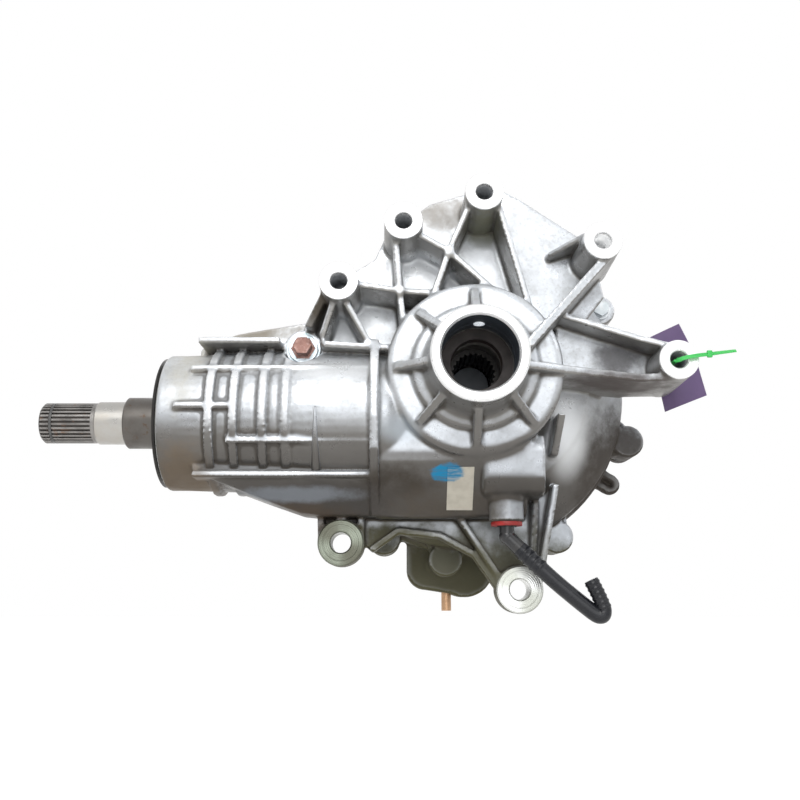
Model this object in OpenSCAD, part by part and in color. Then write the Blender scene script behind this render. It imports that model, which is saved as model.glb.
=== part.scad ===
// Front differential: hypoid final drive with an open differential in a die-cast housing.
// Origin: axle line at the height of the pinion plane. Y runs along the axles, X along the pinion.

/* [Axle line] */
// Bore of the near axle collar in front of its oil seal
axle_bore = 45; // [44.5:0.5:50]
// Bore of the far axle collar outside its oil seal
far_axle_bore = 46; // [45:0.5:50]
// Outside diameter of the axle seals
axle_seal_od = 44; // [41:0.5:44]
// Outside diameter of the near axle collar
collar_d = 57; // [54:0.5:62]
// How far the near collar stands in front of the pinion plane
collar_front = 82; // [74:1:95]
// How far the far collar stands behind the pinion plane
collar_back = 101; // [98:1:112]
// Diameter of an axle shaft where the oil seal runs on it
axle_seal_d = 30; // [28:0.5:32]
// Width of the axle seals
axle_seal_t = 8; // [6:0.5:9]
// Diameter of the spline that takes an axle shaft
axle_spline = 25; // [22:0.5:26]
// Number of teeth in that spline
axle_spline_n = 24; // [18:1:30]

/* [Casting] */
// General wall thickness of the casting
wall = 8; // [6.5:0.5:9]
// Diameter of the round face that carries the near collar
dome_d = 108; // [104:1:116]
// Position of that face in front of the pinion plane
dome_front = 46; // [45.5:0.5:50]
// Outside diameter of the bell over the ring gear
bell_d = 210; // [208:1:216]
// Position of the cover joint behind the pinion plane
joint_back = 48; // [46:0.5:49]
// Thickness of the joint flanges
flange_t = 9; // [7:0.5:11]
// How far the joint flanges stand out from the bell
flange_out = 3; // [2:0.5:5]
// Thickness of the gasket
gasket_t = 0.8; // [0.4:0.1:1.4]
// Thickness of the web plate that joins the bolt bosses
plate_t = 8; // [6:0.5:10]
// Front face of the web plate in front of the pinion plane
plate_front = 10; // [7:0.5:14]
// Thickness of the casting's ribs
rib_t = 4; // [3:0.25:5]

/* [Bolt bosses] */
// Centre of the lowest left boss
boss_1 = [-83.3, 53.6]; // [-90:0.1:60]
// Centre of the upper left boss
boss_2 = [-43.5, 92.9]; // [-50:0.1:100]
// Centre of the top boss
boss_3 = [7.1, 112.2]; // [0:0.1:120]
// Centre of the upper right boss
boss_4 = [79.9, 79.8]; // [70:0.1:90]
// Centre of the right boss
boss_5 = [122.1, 3.9]; // [0:0.1:130]
// Outside diameter of a boss
boss_d = 24; // [21:0.5:27]
// Bolt hole in a boss
boss_bore = 11; // [9:0.5:13]
// Machined front face of the bosses
boss_front = 50; // [47:0.5:53]

/* [Ears] */
// Centre of the left ear
ear_1 = [-82.8, -102.5]; // [-106:0.1:-80]
// Centre of the right ear
ear_2 = [28.6, -131.3]; // [-134:0.1:32]
// Outside diameter of an ear
ear_d = 29.5; // [27:0.5:33]
// Bolt hole in an ear
ear_bore = 13; // [11:0.5:15]
// Machined front face of the ears
ear_front = 4; // [2:0.5:6]
// Length of an ear along its bolt
ear_len = 20; // [19:1:26]

/* [Barrel] */
// How far the pinion line runs below the axle line
offset = 26; // [25.5:0.1:26.5]
// Outside diameter of the barrel at its mouth
barrel_d = 87; // [84:0.5:90]
// Distance of the barrel's mouth from the axle line
barrel_len = 193; // [192:0.5:196]
// Width of a ring rib round the barrel
ring_rib_t = 5; // [3:0.5:7]
// Height of a ring rib over the barrel
ring_rib_h = 3.5; // [2:0.5:4]

/* [Hypoid gears] */
// Slope of the tooth trace across the pinion
spiral = 0.75; // [0.72:0.01:0.78]
// Room between the ring gear's teeth and the inside of the bell
ring_room = 5; // [4.5:0.5:7]
// Inner radius of the ring gear's teeth
ring_in = 66; // [65:0.5:69]
// Back face of the ring gear behind the pinion plane
ring_back = 53; // [52:0.5:54]
// Play between the teeth, as a share of the pitch
backlash = 0.11; // [0.1:0.005:0.13]

/* [Pinion shaft] */
// Diameter of the journal behind the input spline
journal_d = 27.5; // [26.5:0.25:28]
// Diameter of the input spline
input_spline = 26; // [24:0.25:26.25]
// Number of teeth on the input spline
input_spline_n = 30; // [24:1:34]
// Distance of the shaft's end from the axle line
shaft_end = 275; // [268:1:290]
// Length of the input spline
spline_len = 35; // [30:1:38]
// Outside diameter of the input sleeve
sleeve_d = 33; // [31:0.5:36]

/* [Bearings] */
// Carrier bearing bore, outside diameter and width
carrier_brg = [40, 68, 19]; // [18:0.5:70]
// Pinion head bearing bore, outside diameter and width
head_brg = [35, 72, 21]; // [20:0.5:73]
// Pinion tail bearing bore, outside diameter and width
tail_brg = [32, 62, 18]; // [17:0.5:64]
// Tilt of the rollers
roller_tilt = 12; // [10:0.5:14]
// Clearance between rollers and races
roller_gap = 0.06; // [0.05:0.01:0.1]
// Thickness of the shims
shim_t = 1.5; // [1:0.1:2]

/* [Differential gears] */
// Module of the differential gears
diff_module = 3; // [2.95:0.01:3.05]
// Face width of the differential gears
diff_face = 8.5; // [8:0.25:9]
// Outside diameter of the case's round body
case_d = 84; // [82:0.5:86]
// Diameter of the cross pin
cross_pin_d = 14; // [12:0.5:15]
// Middle of the differential gears, behind the pinion plane
diff_back = 14; // [13.5:0.25:14.5]

/* [Fasteners] */
// Cover bolt thread
cover_bolt = 8; // [6:1:8]
// Ring gear bolt thread
gear_bolt = 10; // [8:1:10]
// Number of ring gear bolts
gear_bolt_n = 10; // [8:1:12]
// Circle of the ring gear bolts
gear_bolt_circle = 138; // [137:0.5:140]
// Thread of the filler and drain plugs
plug_d = 12; // [10:1:14]

/* [Breather] */
// Centre of the breather boss, sideways and towards the front
breather_at = [19.4, 20]; // [17:0.1:22]
// Outside diameter of the breather boss
breather_boss_d = 21; // [18:0.5:24]
// Diameter of the breather hose
hose_d = 9.6; // [8:0.1:10.5]

/* [Hidden] */

$fn = 72;
e = 0.5;
seat_fit = 0.02;
thread_fit = 0.05;
run_fit = 0.05;

// Casting
dome_r = dome_d / 2;
collar_r = collar_d / 2;
bell_r = bell_d / 2;
bell_in = bell_r - wall;
ring_out = bell_in - ring_room;
flange_r = bell_r + flange_out;
cover_front = joint_back + gasket_t;
bolt_circle = bell_r + cover_bolt;
lug_r = cover_bolt * 1.35;
lug_len = 20;
bolt_angles = [68, 104, 138, 165, 222, 262, 301, 343];
front_bolt_angle = 33;
dowel_angles = [52, 240];
dowel_d = 8;
dowel_len = 16;
pry_angle = 329;
pry_w = 14;
bosses = [boss_1, boss_2, boss_3, boss_4, boss_5];
barrel_r = barrel_d / 2;
barrel_rings = [for (s = [78.2, 64.4, 46.9, 32.3]) barrel_len - s];
pan_y = -87.5;
block_left = -60;
block_right = 33;
web_low = -14;
slope_high = [-57, 38];
slope_low = [-86, 12];
label_t = 0.4;

// Seats of the carrier bearings
seat_wall = 7;
carrier_r = carrier_brg[1] / 2;
near_shoulder = 23;
near_seat = near_shoulder + carrier_brg[2] + shim_t;
far_shoulder = 63;
far_seat = far_shoulder + carrier_brg[2] + shim_t;
cover_back = 77;
seal_room = axle_seal_t + 1.5;

// Pinion line, measured from the axle line towards the mouth of the barrel
gear_from = ring_in - 9;
gear_to = ring_out - 3;
head_start = gear_to + 9;
head_end = head_start + head_brg[2];
pinion_seal_d = 68;
pinion_seal_t = 9;
nut_t = 12;
nut_thread = 30;
nut_af = 46;
seal_start = barrel_len - pinion_seal_t - 2;
tail_end = seal_start - nut_t - 2;
tail_start = tail_end - tail_brg[2];
sleeve_seal_d = 38;
sleeve_bore = journal_d + 0.5;
sleeve_start = tail_end + nut_t;
sleeve_step = barrel_len + 6;
sleeve_end = 221;
shield_start = barrel_len + 1;
shaft_step = shaft_end - spline_len;
circlip_at = shaft_end - 7.5;

// Hypoid gears
pinion_n = 12;
ring_n = 41;
ratio = ring_n / pinion_n;
pinion_add = 0.7;
pinion_ded = 0.65;
ring_add = 0.45;
ring_ded = 1;
ring_tooth = 0.42;
rack_angle = 20;
mesh_turn = 1.2;
ring_seat = 37.5;
ring_bore_r = 55;
pinion_steps = 7;
pinion_levels = [-pinion_ded, -0.3, 0.05, 0.4, pinion_add];
ring_steps = 4;
ring_foot = ring_tooth * PI / 2 + ring_ded * tan(rack_angle);
ring_top = ring_tooth * PI / 2 - ring_add * tan(rack_angle);
ring_form = [[ring_foot, -ring_ded], [ring_top, ring_add], [-ring_top, ring_add],
    [-ring_foot, -ring_ded]];

// Differential gears
side_n = 16;
spider_n = 10;
bevel_levels = [-1.15, -0.5, 0, 0.45, 0.85];
gear_angle = 22.5;
diff_play = 0.08;
side_angle = atan(side_n / spider_n);
cone_dist = diff_module * side_n / 2 / sin(side_angle);
pocket_r = diff_module * (side_n / 2 + 1.5);
side_back = 22;
hub_r = 16;
spider_back = 31;
washer_t = 1;
play = 0.1;
case_r = case_d / 2;
case_flange_t = 8;
case_flange_r = gear_bolt_circle / 2 + 10;
lock_d = 5;
lock_y = case_r - 5.5;
lock_len = 22;
block_t = 17;

// Plugs and breather
fill_at = [-107.3, 18.9];
fill_face = 16;
plug_washer_t = 1.5;
drain_at = [-24, -118];
drain_face = 80;
breather_low = -91;
breather_hole = 12;
elbow_bend = [breather_at[0], -breather_at[1], -99.6];
hose_route = [[26.8, -21.0, -107.0], [30.5, -21.5, -110.7], [34.2, -22.2, -114.4],
    [38.2, -23.0, -118.3], [44.0, -24.2, -123.9], [50.0, -25.4, -129.4], [55.2, -26.5, -133.9],
    [60.6, -27.5, -138.5], [65.7, -28.4, -142.7], [68.6, -29.0, -145.0], [71.2, -29.6, -146.4],
    [73.6, -30.0, -146.0], [74.6, -30.0, -143.8], [74.0, -30.0, -141.0], [72.7, -30.0, -137.6],
    [71.2, -30.0, -134.0], [69.4, -30.0, -130.2], [67.4, -30.0, -126.0]];

// Things on the axle line are drawn as seen from the front, with z towards the viewer
module face_on() {
    rotate([90, 0, 0])
        children();
}

// Things on the pinion line are drawn with z running out of the barrel's mouth
module on_pinion_line() {
    translate([0, 0, -offset])
        rotate([0, -90, 0])
            children();
}

module turned(points) {
    rotate_extrude()
        polygon(points);
}

module ring(outer, inner, from, to) {
    translate([0, 0, from])
        difference() {
            cylinder(r = outer, h = to - from);
            translate([0, 0, -1])
                cylinder(r = inner, h = to - from + 2);
        }
}

// A straight rib between two points of the front view, with its own height at each end
module rib(a, b, low, high_a, high_b, t = rib_t) {
    run = norm(b - a);
    translate([a[0], a[1], 0])
        rotate([0, 0, atan2(b[1] - a[1], b[0] - a[0])])
            rotate([90, 0, 0])
                linear_extrude(t, center = true)
                    polygon([[0, low], [run, low], [run, high_b], [0, high_a]]);
}

// A plate with its outline in the front view
module plate(points, low, high) {
    translate([0, 0, low])
        linear_extrude(high - low)
            polygon(points);
}

// A prism along X with its outline in height and depth
module along_x(points, from, to) {
    translate([from, 0, 0])
        rotate([90, 0, 90])
            linear_extrude(to - from)
                polygon(points);
}

module at_angles(angles, radius) {
    for (a = angles)
        rotate([0, 0, a])
            translate([radius, 0, 0])
                children();
}

// Casting: outside shapes

module bell_shape() {
    turned([[0, -joint_back], [flange_r, -joint_back], [flange_r, flange_t - joint_back],
        [bell_r, flange_t - joint_back + 2], [bell_r, -24], [bell_r - 4, -19],
        [78, 0], [75.5, 3], [70, 5], [dome_r + 3, 8], [dome_r, 12], [dome_r, dome_front - 4],
        [dome_r - 1.2, dome_front - 1.2], [dome_r - 4, dome_front], [0, dome_front]]);
    translate([0, 0, -joint_back]) {
        at_angles(concat(bolt_angles, dowel_angles), bolt_circle)
            cylinder(r = lug_r, h = lug_len);
        at_angles([front_bolt_angle], bolt_circle)
            cylinder(r = lug_r, h = flange_t + 3);
        at_angles(bolt_angles, bolt_circle)
            lug_neck(lug_len - 3);
    }
}

// Tapered root that ties a lug to the bell
module lug_neck(height) {
    linear_extrude(height)
        polygon([[-14, -lug_r - 5], [1, -lug_r * 0.8], [1, lug_r * 0.8], [-14, lug_r + 5]]);
}

module collar_shape() {
    turned([[0, dome_front - 1], [39, dome_front - 1], [38, dome_front + 2.5],
        [32, dome_front + 4], [collar_r + 1.5, dome_front + 9], [collar_r, collar_front - 12],
        [collar_r, collar_front - 2.5], [collar_r - 2, collar_front], [0, collar_front]]);
    for (a = [90, 135, 180, 225, 270, 315])
        rotate([0, 0, a])
            rib([collar_r - 3, 0], [dome_r - 4.5, 0], dome_front - 2, dome_front + 22,
                dome_front + 1.5, rib_t + 1);
}

module boss_shapes() {
    for (b = bosses)
        translate([b[0], b[1], 0])
            cylinder(d1 = boss_d + 2, d2 = boss_d, h = boss_front);
}

module web_plate() {
    plate([[-110, 12], [-108, 34], boss_1 + [-11, 8], [-62.3, 82.2], boss_2 + [-12, 5],
        [-25.5, 121.4], [-1.8, 128.6], [25.3, 130.1], [35.3, 124.3], boss_4 + [2, 12],
        boss_4 + [12, 2], [85.5, 69.6], [88, 56], [60, 20], [-40, 10]],
        plate_front - plate_t, plate_front);
    plate([[17 - barrel_len, -60], [17 - barrel_len, 22], [21 - barrel_len, 26],
        [42 - barrel_len, 33.3], [-111.8, 40.1], [-60, 46], [-60, -60]], -11, 3);
}

module truss_ribs() {
    top = boss_front - 7;
    low = plate_front - 2;
    crossing = [-15, 76.5];
    knot = [-46, 50.5];
    rib(boss_1 + [-9.5, -4], [-104, 30], 0, top - 6, 28, rib_t + 1);
    rib(boss_1 + [-3, -9], [-95.7, 17], low, top, 36);
    rib(boss_1 + [3, -9], [-63.6, 15], low, top, 38);
    rib(boss_1 + [11, 0.5], knot, low, top, top - 2);
    rib(knot, [-22, 49], low, top - 3, top - 2);
    rib(boss_2 + [-5, -9], knot, low, top, top - 2);
    rib(knot, [-42, 15], low, top - 2, top - 3);
    rib(boss_2 + [8, -5], crossing, low, top, top - 2);
    rib(crossing, [11.3, 51], low, top - 2, top);
    rib(boss_3 + [-9, -6], crossing, low, top, top - 2);
    rib(crossing, [-26, 44], low, top - 2, top);
    for (c = [crossing, knot])
        translate([c[0], c[1], low])
            cylinder(d = rib_t + 3, h = top - low - 1);
    rib(boss_3 + [10, -7], [36, 36], low, top, top - 4);
    rib(boss_4 + [-8, 9], [51, 82], low, top - 6, 18);
    rib([-93, 17.2], [-50, 14], low - 10, 38, 40);
}

module right_arms() {
    dome_rib = dome_front + 14;
    rib(boss_4 + [4, -8], [30, 10], plate_front - 6, 46, dome_rib, rib_t + 1.5);
    rib([54, 35.5], [101, 19.5], -4, 39, 42);
    rib([101, 19.5], boss_5 + [-3, 9.5], -3, 42, 46);
    rib([27, -1], [66, -2.5], -5, dome_rib, 46, rib_t + 1);
    rib([66, -2.5], [99.5, -6], -6, 46, 44, rib_t + 1);
    rib([99.5, -6], boss_5 + [-3, -9.5], -2, 44, 46, rib_t + 1);
    plate([[50, -3], [54, 36], [101, 20], boss_5 + [0, 10], boss_5 + [0, -9], [99, -5]], 14, 22);
    rib([45, 24], [45, -28], dome_front - 34, 28, 20);
    rib([54, -25], [51, -49], 4, 30, 14, rib_t + 1);
}

module barrel_shape() {
    turned([[0, 20], [26, 20], [38, 34], [46, 52], [47.5, 60], [47.5, 92], [barrel_r + 2, barrel_len - 73],
        [barrel_r, seal_start], [barrel_r, barrel_len - 1], [barrel_r - 1, barrel_len], [0, barrel_len]]);
    for (s = barrel_rings)
        translate([0, 0, s - ring_rib_t / 2])
            cylinder(r = barrel_r + ring_rib_h, h = ring_rib_t);
    translate([0, 0, 93])
        cylinder(r1 = 47.5, r2 = barrel_r + ring_rib_h, h = 4);
}

module barrel_ribs() {
    for (r = [[21.6, 21, 72 - barrel_len, 30], [1.5, 19, block_left, 38],
            [-23.2, 11, 47 - barrel_len, 46.5], [-43.7, 43, block_left, 44],
            [-63.5, 22, block_left, 36]])
        translate([r[1] - barrel_len, r[0] - rib_t / 2, 0])
            cube([r[2] - r[1] + barrel_len, rib_t, r[3]]);
    along_x([[pan_y + 1, -20], [20, -20], [20, 38], [4, 46], [-30, 50], [-50, 47], [-66, 36],
        [pan_y + 1, 12]], block_left - 4, block_left + 1.5);
}

// Closed underside of the barrel, and the block below the dome
module pan_shape() {
    intersection() {
        along_x([[-20, -30], [-20, 20], [-61.5, 33], [-66, 32], [-86, 8], [-88, -30]], -180, -58);
        plate([[-172, -20], [-172, -60], [-157, -67], [-127, -78], [-108, -84.5], [-80, pan_y],
            [-50, pan_y], [-50, -20]], -26, 40);
    }
    along_x([[-30, -30], [-30, 40], [-50, 40], slope_high, slope_low, [pan_y, 8], [pan_y, -30]],
        block_left, block_right);
    along_x([[-40, 0], [-40, 36], [-48, 40], [-66, 39.5], [-74, 35], [-76, 28], [-76, 0]], 4, 41.5);
    translate([breather_at[0], breather_low, breather_at[1]])
        rotate([-90, 0, 0])
            cylinder(d = breather_boss_d, h = 20);
}

module lower_web() {
    top = ear_front - 1;
    low = web_low + 3;
    plate([[-98.5, -70], ear_1 + [-14.5, 0], ear_1 + [0, -12], ear_1 + [13.5, 0], [-63.3, -108.2],
        [-47, -95.1], [-33, -95], [-20.5, -98.9], [1.4, -110.7], [14, -127], ear_2, ear_2 + [14, 11],
        [52, -70], [0, -60]], web_low, -6);
    rib([-64, -107], [-47, -95], low, 0, 0);
    rib([-47, -95], [-20.5, -98], low + 1, 0, 0);
    rib([-20.5, -98], [1.4, -110], low, 0, 0);
    rib([1.4, -110], ear_2 + [-13, 1], low + 1, 0, top);
    rib([-9, -86], ear_2 + [-11, 5], low + 0.5, 6, top);
    rib([53, -66], ear_2 + [13, 6], low, 6, top);
    rib([40, -76], ear_2 + [9.5, 10], low + 1, 6, -4);
    rib([-96.5, -74], ear_1 + [-12.5, 2], low, 0, top);
    rib([-70.5, -82], ear_1 + [12.5, 2], low, 0, top);
    for (c = [ear_1, ear_2])
        translate([c[0], c[1], ear_front - ear_len])
            cylinder(d = ear_d, h = ear_len);
}

module fill_boss() {
    translate([fill_at[0], fill_at[1], -8])
        cylinder(d = plug_d + 14, h = fill_face + 8);
}

// Casting: spaces and holes

module gear_space() {
    turned([[0, -joint_back - 1], [bell_in, -joint_back - 1], [bell_in, -26], [bell_in - 26, -4], [49, 0],
        [49, 38], [carrier_r + seat_wall, 38], [carrier_r + seat_wall, near_shoulder - 3],
        [carrier_r + seat_fit, near_shoulder - 3], [carrier_r + seat_fit, near_seat],
        [axle_seal_od / 2, near_seat], [axle_seal_od / 2, near_seat + seal_room],
        [axle_bore / 2, near_seat + seal_room], [axle_bore / 2, collar_front - 1],
        [axle_bore / 2 + 1, collar_front + e], [0, collar_front + e]]);
}

module pinion_space() {
    turned([[0, 28], [20, 30], [33, 46], [39, 58], [39, head_start - 1],
        [head_brg[1] / 2 + seat_fit, head_start - 1], [head_brg[1] / 2 + seat_fit, head_end],
        [head_brg[1] / 2 - 5, head_end], [tail_brg[1] / 2 - 5, head_end + 6],
        [tail_brg[1] / 2 - 5, tail_start], [tail_brg[1] / 2 + seat_fit, tail_start],
        [tail_brg[1] / 2 + seat_fit, tail_end + 1],
        [pinion_seal_d / 2 + seat_fit, tail_end + 4], [pinion_seal_d / 2 + seat_fit, barrel_len + 1],
        [0, barrel_len + 1]]);
}

module block_space() {
    along_x([[-44, -30], [-44, 30], [-52, 32], [-80, 8], [-81, -30]], block_left + 6, block_right - 6);
    along_x([[-46, -5], [-46, 32], [-64, 33], [-70, 28], [-70, -5]], 9, 36.5);
    translate([breather_at[0], breather_low - 1, breather_at[1]])
        rotate([-90, 0, 0])
            cylinder(d = breather_hole + seat_fit, h = 30);
}

module boss_holes() {
    for (b = bosses)
        translate([b[0], b[1], -20])
            cylinder(d = boss_bore, h = boss_front + 21);
    for (c = [ear_1, ear_2])
        translate([c[0], c[1], -40])
            cylinder(d = ear_bore, h = 50);
}

module joint_holes() {
    translate([0, 0, -joint_back - 1]) {
        at_angles(bolt_angles, bolt_circle)
            cylinder(d = cover_bolt + thread_fit, h = lug_len - 2);
        at_angles([front_bolt_angle], bolt_circle)
            cylinder(d = cover_bolt + 0.8, h = lug_len);
        at_angles(dowel_angles, bolt_circle)
            cylinder(d = dowel_d + seat_fit, h = dowel_len / 2 + 1.5);
    }
}

module fill_hole() {
    translate([fill_at[0], fill_at[1], -6])
        cylinder(d = plug_d + thread_fit, h = fill_face + 7);
    translate([fill_at[0], fill_at[1], -4])
        rotate([0, 90, 0])
            cylinder(d = 6, h = 46);
    translate([fill_at[0], fill_at[1], fill_face])
        cylinder(d = plug_d + 13, h = 40);
}

module main_housing() {
    color("gainsboro")
        difference() {
            union() {
                face_on() {
                    bell_shape();
                    collar_shape();
                    boss_shapes();
                    web_plate();
                    truss_ribs();
                    right_arms();
                    barrel_ribs();
                    pan_shape();
                    lower_web();
                    fill_boss();
                }
                on_pinion_line()
                    barrel_shape();
            }
            face_on() {
                gear_space();
                block_space();
                boss_holes();
                joint_holes();
                fill_hole();
            }
            on_pinion_line()
                pinion_space();
        }
}

// Side cover

module cover_outside() {
    turned([[0, -cover_front + 1], [flange_r, -cover_front + 1], [flange_r, -cover_front - flange_t],
        [bell_r - 1, -cover_front - flange_t - 1], [bell_r - 5, -68], [bell_r - 20, -cover_back],
        [48, -cover_back - 1], [carrier_r + seat_wall + 1, -far_seat - 3],
        [collar_r + 5, -far_seat - 6], [collar_r + 1, -collar_back + 6], [collar_r + 1, -collar_back],
        [0, -collar_back]]);
    translate([0, 0, -cover_front - flange_t - 2])
        at_angles(concat(bolt_angles, dowel_angles), bolt_circle)
            cylinder(r = lug_r, h = flange_t + 3);
    translate([0, 0, -cover_front - flange_t + 1])
        at_angles(bolt_angles, bolt_circle)
            lug_neck(flange_t);
    translate([0, 0, -cover_front - lug_len])
        at_angles([front_bolt_angle], bolt_circle)
            cylinder(r = lug_r, h = lug_len + 1);
    for (a = [15 : 30 : 345])
        rotate([0, 0, a])
            translate([0, 0, -far_seat - 2])
                rib([collar_r + 10, 0], [bell_r - 6, 0], 0, far_seat - cover_back + 5, 25);
    rotate([0, 0, pry_angle])
        translate([bell_r - 3, 0, -cover_front - 7])
            pry_lug();
    cover_sump();
}

// Tongue with a slot, to lever the cover off its joint
module pry_lug() {
    difference() {
        union() {
            translate([0, -pry_w / 2, 0])
                cube([14, pry_w, 8]);
            translate([14, 0, 0])
                cylinder(d = pry_w, h = 8);
        }
        translate([7, -1.5, 3])
            cube([9, 3, 6]);
    }
}

module cover_sump() {
    translate([0, 0, -drain_face]) {
        translate([-2, -116, 0])
            cylinder(r = 20, h = drain_face - cover_front - 1);
        translate([-28, -118, 0])
            cylinder(r = 13, h = drain_face - cover_front - 1);
        plate([[-41, -118], [-41, -92], [18, -92], [18, -116], [-2, -116 - 19], [-28, -118 - 13]],
            0, drain_face - cover_front - 1);
    }
}

module cover_inside() {
    turned([[0, -cover_front + 1], [bell_in, -cover_front + 1], [bell_in, -60],
        [bell_in - 6, -68], [bell_in - 18, -cover_back + 6], [carrier_r + seat_wall, -cover_back + 6],
        [carrier_r + seat_wall, -far_shoulder - 1.5], [carrier_r + seat_fit, -far_shoulder - 1.5],
        [carrier_r + seat_fit, -far_seat], [axle_seal_od / 2, -far_seat],
        [axle_seal_od / 2, -far_seat - seal_room], [far_axle_bore / 2, -far_seat - seal_room],
        [far_axle_bore / 2, -collar_back - 1], [0, -collar_back - 1]]);
    translate([0, 0, -drain_face + 6]) {
        translate([-2, -116, 0])
            cylinder(r = 14, h = drain_face - cover_front - 13);
        plate([[-35, -118], [-35, -80], [12, -80], [12, -116], [-2, -129], [-28, -125]],
            0, drain_face - cover_front - 13);
    }
}

module side_cover() {
    color("silver")
        face_on()
            difference() {
                cover_outside();
                translate([0, 0, -cover_front])
                    cylinder(r = bolt_circle + lug_r + 5, h = 5);
                cover_inside();
                translate([0, 0, -cover_front - flange_t - 3])
                    at_angles(bolt_angles, bolt_circle)
                        cylinder(d = cover_bolt + 0.8, h = flange_t + 5);
                translate([0, 0, -cover_front - lug_len + 2])
                    at_angles([front_bolt_angle], bolt_circle)
                        cylinder(d = cover_bolt + thread_fit, h = lug_len);
                translate([0, 0, -cover_front - dowel_len / 2 - 0.5])
                    at_angles(dowel_angles, bolt_circle)
                        cylinder(d = dowel_d + seat_fit, h = dowel_len);
                translate([drain_at[0], drain_at[1], -drain_face - 1])
                    cylinder(d = plug_d + thread_fit, h = 14);
                translate([-14, -140, -62])
                    rotate([-90, 0, 0])
                        cylinder(d = 6.6 + seat_fit, h = 12);
            }
}

module cover_gasket() {
    color("dimgray")
        face_on()
            translate([0, 0, -cover_front])
                difference() {
                    union() {
                        cylinder(r = flange_r, h = gasket_t);
                        at_angles(concat(bolt_angles, dowel_angles, [front_bolt_angle]), bolt_circle)
                            cylinder(r = lug_r, h = gasket_t);
                    }
                    translate([0, 0, -1])
                        cylinder(r = bell_in, h = gasket_t + 2);
                    translate([0, 0, -1])
                        at_angles(concat(bolt_angles, dowel_angles, [front_bolt_angle]), bolt_circle)
                            cylinder(d = cover_bolt + 1, h = gasket_t + 2);
                }
}

// Hexagon-head flange bolt, with its head above z = 0
module flange_bolt(d, length, af) {
    cylinder(d = af * 1.35, h = 1.4);
    cylinder(r = af / 2 / cos(30), h = d * 0.75 + 1, $fn = 6);
    translate([0, 0, -length])
        cylinder(d = d, h = length + 1);
}

module cover_bolts() {
    color("silver")
        face_on() {
            at_angles(bolt_angles, bolt_circle)
                translate([0, 0, -cover_front - flange_t - 2])
                    rotate([180, 0, 0])
                        flange_bolt(cover_bolt, cover_bolt * 3, cover_bolt * 1.5);
            at_angles([front_bolt_angle], bolt_circle)
                translate([0, 0, -joint_back + flange_t + 3])
                    flange_bolt(cover_bolt, cover_bolt * 3, cover_bolt * 1.3);
        }
}

module cover_dowels() {
    color("darkgray")
        face_on()
            translate([0, 0, -joint_back - gasket_t / 2 - dowel_len / 2])
                at_angles(dowel_angles, bolt_circle)
                    ring(dowel_d / 2, dowel_d / 2 - 1.2, 0, dowel_len);
}

module plug() {
    cylinder(d = plug_d + 7, h = 1.6);
    cylinder(r = 13 / 2 / cos(30), h = 10, $fn = 6);
    translate([0, 0, -14])
        cylinder(d = plug_d, h = 15);
}

module plug_washer() {
    ring(plug_d / 2 + 5, plug_d / 2 + 0.2, 0, plug_washer_t);
}

module at_fill() {
    face_on()
        translate([fill_at[0], fill_at[1], fill_face])
            children();
}

module at_drain() {
    face_on()
        translate([drain_at[0], drain_at[1], -drain_face])
            rotate([180, 0, 0])
                children();
}

module fill_plug() {
    color("rosybrown")
        at_fill()
            translate([0, 0, plug_washer_t])
                plug();
}

module fill_plug_washer() {
    color("lightsteelblue")
        at_fill()
            plug_washer();
}

module drain_plug() {
    color("rosybrown")
        at_drain()
            translate([0, 0, plug_washer_t])
                plug();
}

module drain_plug_washer() {
    color("lightsteelblue")
        at_drain()
            plug_washer();
}

module drain_stub() {
    color("peru")
        face_on()
            translate([-14, -145, -62])
                rotate([-90, 0, 0])
                    ring(3.3, 2, 0, 14);
}

// Breather

module rod_between(a, b, d) {
    run = b - a;
    translate(a)
        rotate([0, acos(run[2] / norm(run)), atan2(run[1], run[0])])
            cylinder(d = d, h = norm(run));
}

module breather_elbow() {
    color("black") {
        translate([breather_at[0], -breather_at[1], breather_low - 3])
            cylinder(d = breather_hole, h = 12);
        translate(elbow_bend)
            cylinder(d = hose_d - 0.6, h = breather_low - 1 - elbow_bend[2]);
        translate(elbow_bend)
            sphere(d = hose_d);
        rod_between(elbow_bend, hose_route[0], hose_d - 0.6);
    }
}

module breather_clip() {
    color("red")
        translate([breather_at[0], -breather_at[1], 0])
            difference() {
                ring(breather_boss_d / 2 - 1, breather_hole / 2 + 0.1, breather_low - 2.5, breather_low);
                translate([-2.5, 0, breather_low - 3])
                    cube([5, 20, 4]);
            }
}

// Directions along the route, and a frame across it that doesn't twist
function unit(v) = v / norm(v);
function heading(p, i) = unit(p[min(i + 1, len(p) - 1)] - p[max(i - 1, 0)]);
function across(p, i) = unit(cross(heading(p, i), [0, 1, 0]));
function tube_points(p, d, n) = [for (i = [0 : len(p) - 1]) for (k = [0 : n - 1])
    let (u = across(p, i), v = cross(heading(p, i), u), a = k * 360 / n)
    p[i] + d / 2 / cos(180 / n / 2) * (cos(a) * u + sin(a) * v)];
function tube_faces(m, n) = concat([[for (k = [0 : n - 1]) k]],
    [for (i = [0 : m - 2]) for (k = [0 : n - 1]) let (a = i * n + k, b = i * n + (k + 1) % n) [a, a + n, b + n]],
    [for (i = [0 : m - 2]) for (k = [0 : n - 1]) let (a = i * n + k, b = i * n + (k + 1) % n) [a, b + n, b]],
    [[for (k = [n - 1 : -1 : 0]) (m - 1) * n + k]]);

module breather_hose() {
    color("darkslategray")
        polyhedron(tube_points(hose_route, hose_d, 12), tube_faces(len(hose_route), 12));
}

// Seals: a steel cup, a rubber wall and a lip that clears its shaft

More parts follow.
